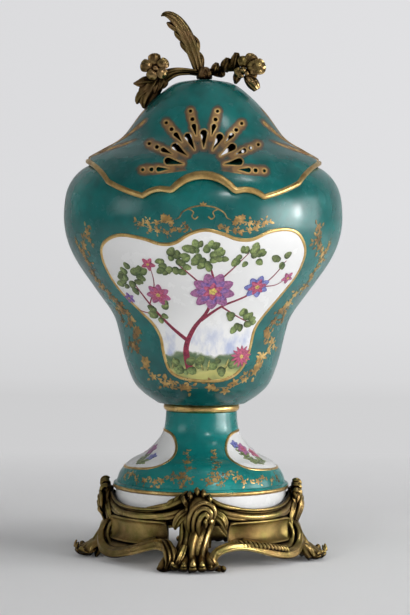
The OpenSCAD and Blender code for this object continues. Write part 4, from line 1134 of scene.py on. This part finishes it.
def bow(a, b, sag, steps=10):
    """A shallow arc from a to b."""
    (ax, az), (bx, bz) = a, b
    length = math.hypot(bx - ax, bz - az)
    return [(ax + (bx - ax) * t - 4 * sag * t * (1 - t) * (bz - az) / length,
             az + (bz - az) * t + 4 * sag * t * (1 - t) * (bx - ax) / length)
            for t in (k / steps for k in range(steps + 1))]


EDGE_TOP = 277.5
SIDE_ROUND, SIDE_SHIFT = 160, 78.5
FAN_CENTRE, RAY_TURN = 276, 13.1
CUT_REACH, CUT_LOW = 140, 230
SIDE_CUT_LONG, SIDE_CUT_REACH, SIDE_CUT_LOW, SIDE_CUT_HIGH = 130, 160, 225, 350
half_edge = bow((-81.5, EDGE_TOP), (-40.5, 257), -2.4)
half_edge += bow((-40.5, 257), (-21.5, 260.5), 2.7)[1:] + bow((-21.5, 260.5), (0, 270), 2.4)[1:]
edge = half_edge + [(-x, z) for x, z in half_edge[-2::-1]]
below = ([(-CUT_REACH, EDGE_TOP)] + edge
         + [(CUT_REACH, EDGE_TOP), (CUT_REACH, CUT_LOW), (-CUT_REACH, CUT_LOW)])
cutters = [drawn("edge_cutter", [[(x, y, z) for x, z in below] for y in (-CUT_REACH, CUT_REACH)])]


def side_edge(y):
    """How far out the lid goes at the sides."""
    return math.sqrt(SIDE_ROUND ** 2 - y * y) - SIDE_SHIFT


plan = [(side_edge(y), y) for y in range(-SIDE_CUT_LONG, SIDE_CUT_LONG + 1, 10)]
plan += [(SIDE_CUT_REACH, SIDE_CUT_LONG), (SIDE_CUT_REACH, -SIDE_CUT_LONG)]
for way in (1, -1):
    cutters.append(drawn("side_cutter", [[(way * x, y, z) for x, y in plan]
                                         for z in (SIDE_CUT_LOW, SIDE_CUT_HIGH)]))


def on_ray(points, degrees):
    """Points beside and along the fan's upright, turned about its centre."""
    c, s = math.cos(math.radians(degrees)), math.sin(math.radians(degrees))
    return [(x * c + y * s, FAN_CENTRE + y * c - x * s) for x, y in points]


def tear(start, length, width, degrees):
    """The outline of a pierced petal: a point near the fan's centre and a round end."""
    end = start + length - width / 2
    return on_ray([(0, start)] + [(width / 2 * math.cos(t), end + width / 2 * math.sin(t))
                                  for t in (math.pi * k / 8 for k in range(9))], degrees)


def dot(distance, width, degrees):
    """The outline of a round hole on a ray."""
    (x, z), = on_ray([(0, distance)], degrees)
    return [(x + width / 2 * math.cos(t), z + width / 2 * math.sin(t))
            for t in (math.pi * k / 6 for k in range(12))]


PETAL_START, PETAL_LONG, PETAL_WIDE = 14, 13, 4.9
SLOT_START, SLOT_LONG, SLOT_WIDE = 23.5, 8.5, 3.3
DOTS = ((35.2, 2.8), (41.2, 2.3))
holes = [tear(PETAL_START, PETAL_LONG, PETAL_WIDE, 2 * RAY_TURN * k) for k in range(-3, 4)]
for k in range(-4, 4):
    ray = RAY_TURN * (2 * k + 1)
    holes.append(tear(SLOT_START, SLOT_LONG, SLOT_WIDE, ray))
    holes += [dot(distance, width, ray) for distance, width in DOTS]
DOME_FOOT, DOME_NEAR, SKIRT_NEAR, FAN_FAR = 284.3, 21.5, 67, 125
FRONT_LOWEST, SIDE_LOWEST = 200, 286.5


def fan_cutter(lowest):
    """The pierced shapes of one fan, above a height; each starts behind the wall that it cuts."""
    prisms = []
    for shape in holes:
        if max(z for x, z in shape) > lowest + 1:
            near = DOME_NEAR if min(z for x, z in shape) > DOME_FOOT else SKIRT_NEAR
            prisms.append(drawn("pierced", [[(x, y, max(z, lowest)) for x, z in shape]
                                            for y in (-near, -FAN_FAR)]))
    return joined("fan_cutter", prisms, gold, 0)


front_fan, side_fan = fan_cutter(FRONT_LOWEST), fan_cutter(SIDE_LOWEST)
cutters += [front_fan, copy_turned(front_fan, "fan_cutter", 183.5),
            copy_turned(side_fan, "fan_cutter", 90), copy_turned(side_fan, "fan_cutter", 270)]
bpy.data.objects.remove(side_fan)

lid_glaze, shader, place = surface("lid_glaze")
at = axes(place)
turned_front = calc("GREATER_THAN", calc("ABSOLUTE", at["Y"]), calc("ABSOLUTE", at["X"]))
away = calc("ADD", calc("MULTIPLY", at["X"], turned_front),
            calc("MULTIPLY", at["Y"], calc("SUBTRACT", 1, turned_front)))
away = calc("MULTIPLY", calc("ABSOLUTE", away), 1 / MM)
rise = calc("SUBTRACT", calc("MULTIPLY", at["Z"], 1 / MM), FAN_CENTRE)
reach = calc("SQRT", calc("ADD", calc("MULTIPLY", away, away), calc("MULTIPLY", rise, rise)))
ray_angle = math.radians(RAY_TURN)
turns = calc("DIVIDE", calc("ARCTAN2", away, rise), ray_angle)
fold = calc("PINGPONG", turns, 1)
from_petal = calc("MULTIPLY", fold, ray_angle)
from_ray = calc("MULTIPLY", calc("SUBTRACT", 1, fold), ray_angle)
off_petal = calc("MULTIPLY", reach, calc("SINE", from_petal))
off_ray = calc("MULTIPLY", reach, calc("SINE", from_ray))


def strip(off, start, end):
    """How far a place is from a line along a ray between two distances."""
    past = calc("MAXIMUM", calc("SUBTRACT", reach, end), calc("SUBTRACT", start, reach))
    past = calc("MAXIMUM", past, 0)
    return calc("SQRT", calc("ADD", calc("MULTIPLY", off, off), calc("MULTIPLY", past, past)))


def hole(off, start, end, wide):
    """How far a place is outside a pierced shape that widens from its start to its end."""
    half = scaled(reach, start, end, 0.1, wide)
    return calc("SUBTRACT", strip(off, start, end), half)


outside = calc("MULTIPLY", calc("GREATER_THAN", turns, 7.5), 50)
nearest = calc("MINIMUM", calc("SUBTRACT", strip(off_ray, 22, 41), 0.5), strip(off_petal, 15, 24))
nearest = calc("ADD", nearest, scaled(speckle(place, 300, 4.0), 0.3, 0.7, -0.6, 0.6))
gilded = scaled(calc("ADD", nearest, outside), 4.6, 1.2, 0.0, 1.0)
PETAL_END, SLOT_END = 24.5, 30.3
lip = calc("MINIMUM", hole(off_petal, PETAL_START, PETAL_END, PETAL_WIDE / 2),
           hole(off_ray, SLOT_START, SLOT_END, SLOT_WIDE / 2))
for distance, width in DOTS:
    lip = calc("MINIMUM", lip, calc("SUBTRACT", strip(off_ray, distance, distance), width / 2))
lip = calc("ADD", lip, scaled(speckle(place, 500, 3.0), 0.3, 0.7, -0.2, 0.2))
lined = scaled(calc("ADD", lip, outside), 1.15, 0.6, 0.0, 1.0)
brown = ramp(gilded, (0.15, (0.045, 0.040, 0.030)), (0.5, (0.105, 0.052, 0.024)),
             (1.0, (0.30, 0.155, 0.055)))
browned = mixed(scaled(gilded, 0.0, 0.45, 0.0, 0.92), green_layers(place, 0.82), brown)
feed(shader, Base_Color=mixed(lined, browned, gold_leaf(place)[0]),
     Metallic=calc("MAXIMUM", calc("MULTIPLY", lined, 0.8), scaled(gilded, 0.5, 1.0, 0.0, 0.2)))
glaze_coat(shader, place)
feed(shader, Coat_Weight=scaled(gilded, 0.0, 0.6, 0.25, 0.0),
     Roughness=calc("MAXIMUM", scaled(gilded, 0.0, 0.6, 0.2, 0.42),
                    scaled(speckle(place, 60), 0.3, 0.7, 0.16, 0.32)))
# Painted shade: the lid's inside is a dark grey-brown, standing in for the shade within the dome.
painted_shade_inside, shader, place = surface("bare_porcelain", Roughness=0.8)
feed(shader, Base_Color=ramp(speckle(place, 60), (0.3, (0.085, 0.078, 0.066)),
                             (0.7, (0.15, 0.14, 0.12))))
lid_finishes = (lid_glaze, painted_shade_inside, gold)
for finish in lid_finishes:
    lid.data.materials.append(finish)
outer_height = sorted(lid_line)
SKIN_DEEP = 1.5
# Faces below the outer skin, inside the lid, take the painted shade.
for f in lid.data.polygons:
    r, z = math.hypot(f.center.x, f.center.y) / MM, f.center.z / MM
    inner = max((q for q in outer_height if q[0] <= r), default=outer_height[0])
    outer = min((q for q in outer_height if q[0] >= r), default=outer_height[-1])
    f.material_index = 1 if z < min(inner[1], outer[1]) - SKIN_DEEP else 0
bpy.ops.object.select_all(action="DESELECT")
bpy.context.view_layer.objects.active = lid
lid.select_set(True)
for cutter in cutters:
    cutter.data.materials.clear()
    for finish in lid_finishes:
        cutter.data.materials.append(finish)
    # Cutter ends take the painted shade of the inside, their sides the glaze.
    for f in cutter.data.polygons:
        f.material_index = 1 if len(f.vertices) > 4 else 0
    cut = lid.modifiers.new("cut", "BOOLEAN")
    cut.object = cutter
    cut.solver = "EXACT"
    bpy.ops.object.modifier_apply(modifier="cut")
for cutter in cutters:
    bpy.data.objects.remove(cutter)
bpy.ops.object.shade_smooth_by_angle(angle=math.radians(35))
settle(lid, LID, "green_glaze", "lid")


def skirt_bottom(x):
    """The height of the scalloped edge, seen from the front."""
    for (x0, z0), (x1, z1) in zip(edge, edge[1:]):
        if x0 <= x <= x1:
            return z0 + (z1 - z0) * (x - x0) / (x1 - x0)
    return EDGE_TOP


def rim_place(degrees):
    """How low the skirt goes at this side of the lid, found by halving."""
    low, high = 246.0, 283.0
    for _ in range(14):
        z = (low + high) / 2
        p = skin(body_line, degrees, z, 2.2)
        if p.z < skirt_bottom(p.x) or abs(p.x) > side_edge(p.y):
            low = z
        else:
            high = z
    return high


rim_path = [(a, rim_place(a)) for a in range(-180, 180)]
rim_rings = []
for i, (a, z) in enumerate(rim_path):
    swell = max(0, 1 - (min(abs(a), 180 - abs(a)) / 15) ** 2)
    tall = 1.7 + 0.6 * abs(math.cos(math.radians(a))) ** 3 + 1.0 * swell
    p = skin(body_line, a, z + swell, 2.9)
    up = skin(body_line, a, z, 1) - skin(body_line, a, z)
    ahead = skin(body_line, *rim_path[(i + 2) % 360]) - skin(body_line, *rim_path[i - 2])
    side = ahead.cross(up).normalized()
    rim_rings.append([p + side * tall * math.cos(t) + up * 1.85 * math.sin(t)
                      for t in (math.pi * k / 6 for k in range(12))])
rim = joined("lid_gilt_rim", [drawn("rim", rim_rings + rim_rings[:1], True)], gold, 0)
settle(rim, LID, "gilding")

# The flower spray on top: a leafy plume, a thick branch to the left with a flower and a lobed
# leaf, and a knotted one to the right with a flower and a bud. Cast bronze, brazed, on a stud
# through the lid.
spray_bronze = bronze_finish("spray_bronze", (0.62, 0.54, 0.61), 0.008)
front = (0, -1, 0)


def cast_spray(node, kind, parts):
    """One bronze of the spray, for its node."""
    settle(joined(f"{node}_{kind}", parts, spray_bronze), LID, "bronze", node)


plume = [
    leaf("blade", [(-3.6, 0, 344.6), (-5.2, -0.4, 350.4), (-8.4, -0.8, 360), (-12, -1.1, 369),
                   (-15.8, -1.2, 376), (-20, -1.1, 381.4), (-24.4, -0.8, 384.9),
                   (-28.4, -0.3, 385.8), (-31, 0, 384.4)],
         [3.4, 3.9, 4.6, 4.8, 4.6, 4.0, 3.0, 1.8, 0.4],
         [1.9, 2.0, 2.0, 1.9, 1.8, 1.6, 1.3, 1.0, 0.4], front, rib=0.45),
    leaf("right_lobe", [(-5.4, 0.4, 356), (-4.8, 0.4, 362), (-5.4, 0.4, 367), (-8, 0.5, 371.4)],
         [0.9, 1.7, 1.7, 0.3], [1.0, 1.2, 1.1, 0.4], front, ribs=2, rib=0.6),
    leaf("low_lobe", [(-2, 0.4, 345), (-1.6, 0.4, 351), (-2.2, 0.4, 356), (-4.6, 0.5, 360.4)],
         [0.9, 1.6, 1.6, 0.3], [1.0, 1.2, 1.1, 0.4], front, ribs=2, rib=0.6),
]
for x0, z0, x1, z1 in ((-9.4, 357, -17.4, 366.4), (-13, 365, -21.6, 373.4),
                       (-17, 372.6, -27, 380)):
    barb = [(x0, 0.2, z0), (x0 + 0.3 * (x1 - x0), 0.0, z0 + 0.38 * (z1 - z0)),
            (x0 + 0.75 * (x1 - x0), 0.0, z0 + 0.8 * (z1 - z0)), (x1, 0.2, z1)]
    plume.append(leaf("barb", barb, [1.2, 2.4, 2.2, 0.5], [0.9, 1.4, 1.3, 0.5], front, ribs=2))
cast_spray("spray_plume", "leaves", plume)
boss = [
    strand("boss", [(0, 0, 340.1), (0, 0, 341.6), (0, 0, 344.5), (0, 0, 347.5), (0, 0, 349)],
           [5.2, 5.8, 5.2, 4.0, 2.0], [5.2, 5.8, 5.2, 4.0, 2.0], front, ridges=3, steps=4),
    leaf("front_leaf", [(2, -4, 346), (2.6, -6.2, 343.6), (2.8, -6.8, 341.6)], [1.8, 2.6, 1.0],
         [1.2, 1.3, 0.7], front, ribs=2, rib=0.4),
    leaf("right_leaf", [(4, -1, 345), (8.4, -2, 343.2), (12.6, -2.6, 341.6)], [1.6, 2.2, 0.7],
         [1.0, 1.1, 0.6], (0, -0.6, 1), ribs=2, rib=0.4),
]
cast_spray("spray_boss", "leaves", boss)
branch = [
    strand("branch", [(-2.6, 0, 344.2), (-9, 0, 345.2), (-16, -0.4, 345.6), (-22, -0.9, 344.6),
                      (-28, -1.6, 341.6), (-33, -2.2, 337)], [2.3, 2.3, 2.7, 3.6, 4.6, 3.4],
           [2.2, 2.1, 2.5, 3.0, 3.3, 2.4], front, ridges=2),
    strand("bark", [(-5, -1.8, 346), (-14, -2.2, 347), (-22, -3.2, 346.4), (-29, -4.4, 343.4)],
           [0.8, 1.0, 1.4, 0.8], [0.8, 1.0, 1.2, 0.7], front),
    strand("low_bark", [(-10, -1.8, 343.6), (-18, -2.4, 343.2), (-24, -3.4, 340.6),
                        (-29, -4.2, 336.6)], [0.6, 0.9, 1.2, 0.7], [0.7, 0.9, 1.1, 0.6], front),
]
cast_spray("spray_left_branch", "bark", branch)


def petal(name, centre, degrees, length, wide, tilt):
    """One cupped petal: 0 degrees is up, 90 to the right, and tilt brings it towards the viewer."""
    x, y, z = centre
    c, s = math.cos(math.radians(degrees)), math.sin(math.radians(degrees))
    line = [(x + length * t * s, y - tilt * math.sin(math.pi * t) * 1.2 - tilt * t,
             z + length * t * c) for t in (0.12, 0.45, 0.8, 1.0)]
    return leaf(name, line, [0.45 * wide, 0.92 * wide, wide, 0.35 * wide], [1.2, 1.3, 1.3, 0.9],
                (0, -1, 0.05), ribs=1, rib=0.4, cup=0.35, steps=5)


def cast_flower(centre, petals, stamens):
    """A flower's petals, each by its degrees, length, width and tilt, and the lumps within."""
    return ([petal("petal", centre, *each) for each in petals]
            + [knob("stamen", *each) for each in stamens])


cast_spray("spray_left_flower", "petals", cast_flower(
    (-34.6, -5, 347.4),
    ((-6, 10.4, 4.4, 0.8), (62, 10.0, 4.0, 1.7), (128, 9.0, 3.7, 2.2), (206, 8.4, 3.8, 2.0),
     (282, 10.6, 4.5, 1.0)),
    (((-34.6, -8.0, 347.2), 2.3), ((-31.6, -8.2, 344.8), 1.7), ((-36.8, -8.6, 344.6), 1.5),
     ((-33.4, -8.8, 346.6), 1.3))))
left_leaf = [
    leaf("blade", [(-33.6, -2.6, 340), (-37, -3.6, 333.4), (-40.6, -4.2, 325.6),
                   (-42.4, -3.8, 318.8)], [4.6, 8.2, 7.0, 1.2], [1.8, 2.0, 1.6, 0.7], front,
         rib=0.55, cup=-0.1, lobes=3, lobe=0.14),
    leaf("left_lobe", [(-35.4, -2.6, 338), (-41, -3.6, 337.8), (-46, -3.4, 336.8),
                       (-50.2, -2.6, 336.6)], [3.4, 4.2, 2.8, 0.5], [1.5, 1.6, 1.2, 0.5], front,
         ribs=2, cup=-0.1),
    leaf("low_lobe", [(-38.6, -2.8, 332.6), (-43.4, -3.8, 329.2), (-46.6, -3.6, 325),
                      (-47.4, -3.2, 322)], [3.2, 3.8, 2.6, 0.6], [1.4, 1.5, 1.1, 0.5], front,
         ribs=2, cup=-0.1),
    leaf("right_lobe", [(-33, -3, 338), (-33.6, -4.8, 334), (-35, -5.2, 329.8)], [3.0, 3.2, 0.8],
         [1.3, 1.4, 0.7], front, ribs=2, rib=0.45),
    leaf("branch_lobe", [(-29, -2.8, 340.4), (-29.4, -4.4, 336.6), (-31.4, -5, 332.4)],
         [3.2, 3.8, 0.9], [1.4, 1.5, 0.7], front, ribs=2, rib=0.45),
]
cast_spray("spray_left_leaf", "lobes", left_leaf)
branch = [strand("branch", [(2.6, 0, 344.4), (8, -0.5, 346.4), (13, -1, 347.4), (19, -1.8, 348.6),
                            (25, -3, 348)], [2.4, 3.0, 2.4, 3.0, 2.4], [2.2, 2.8, 2.2, 2.8, 2.2],
                 front, ridges=2)]
cast_spray("spray_right_branch", "bark", branch)
cast_spray("spray_right_buds", "cast", [
    leaf("bud", points, wide, thick, front, ribs=2, rib=rib, cup=cup)
    for points, wide, thick, rib, cup in (
        ([(6.8, -0.6, 344.6), (8.0, -2.4, 348.4), (8.8, -2, 351.8)],
         [2.4, 3.2, 1.4], [2.4, 2.9, 1.2], 0.4, 0.0),
        ([(13.8, -1, 346), (15.6, -2.8, 350.8), (16.8, -2.2, 355.2)],
         [3.0, 4.2, 1.8], [2.6, 3.2, 1.4], 0.4, 0.0),
        ([(20.6, -2.4, 346.6), (22, -4, 353), (22.8, -3.4, 359)],
         [2.6, 4.0, 1.6], [1.8, 2.2, 1.0], 0.5, 0.2),
        ([(24, -3.6, 345), (23, -5.6, 341), (21.8, -5.6, 336.8)],
         [2.6, 3.0, 0.9], [1.8, 2.0, 0.9], 0.4, 0.0),
        ([(11.6, -1.4, 345.6), (12.6, -3.8, 343.6), (13.6, -4.2, 341.8)],
         [2.0, 2.6, 1.0], [1.5, 1.7, 0.8], 0.4, 0.0),
    )])
cast_spray("spray_right_flower", "petals", cast_flower(
    (28.4, -5, 347),
    ((-14, 9.6, 3.6, 0.8), (34, 12.6, 4.9, 0.6), (80, 14.6, 5.6, 2.4), (130, 9.8, 4.2, 1.2),
     (-120, 7.6, 3.6, 1.4)),
    (((27.2, -8.2, 346.4), 2.6), ((29.8, -8.8, 344.2), 1.9), ((26.4, -8.4, 342.4), 1.6))))
cast_spray("spray_right_leaf", "bud", [
    strand("bud", [(29.4, -4.6, 343.2), (31.8, -5.4, 340.2), (34.8, -6.2, 336.6),
                   (37.4, -6.4, 332.6)], [2.4, 4.0, 4.4, 2.6], [2.2, 3.4, 3.7, 2.0], front,
           ridges=3),
    leaf("sepal", [(30.4, -7.4, 342.6), (33.4, -9.4, 338.8), (36, -10, 334.8)], [1.8, 2.2, 0.8],
         [0.9, 1.0, 0.5], front, ribs=1, rib=0.3),
])
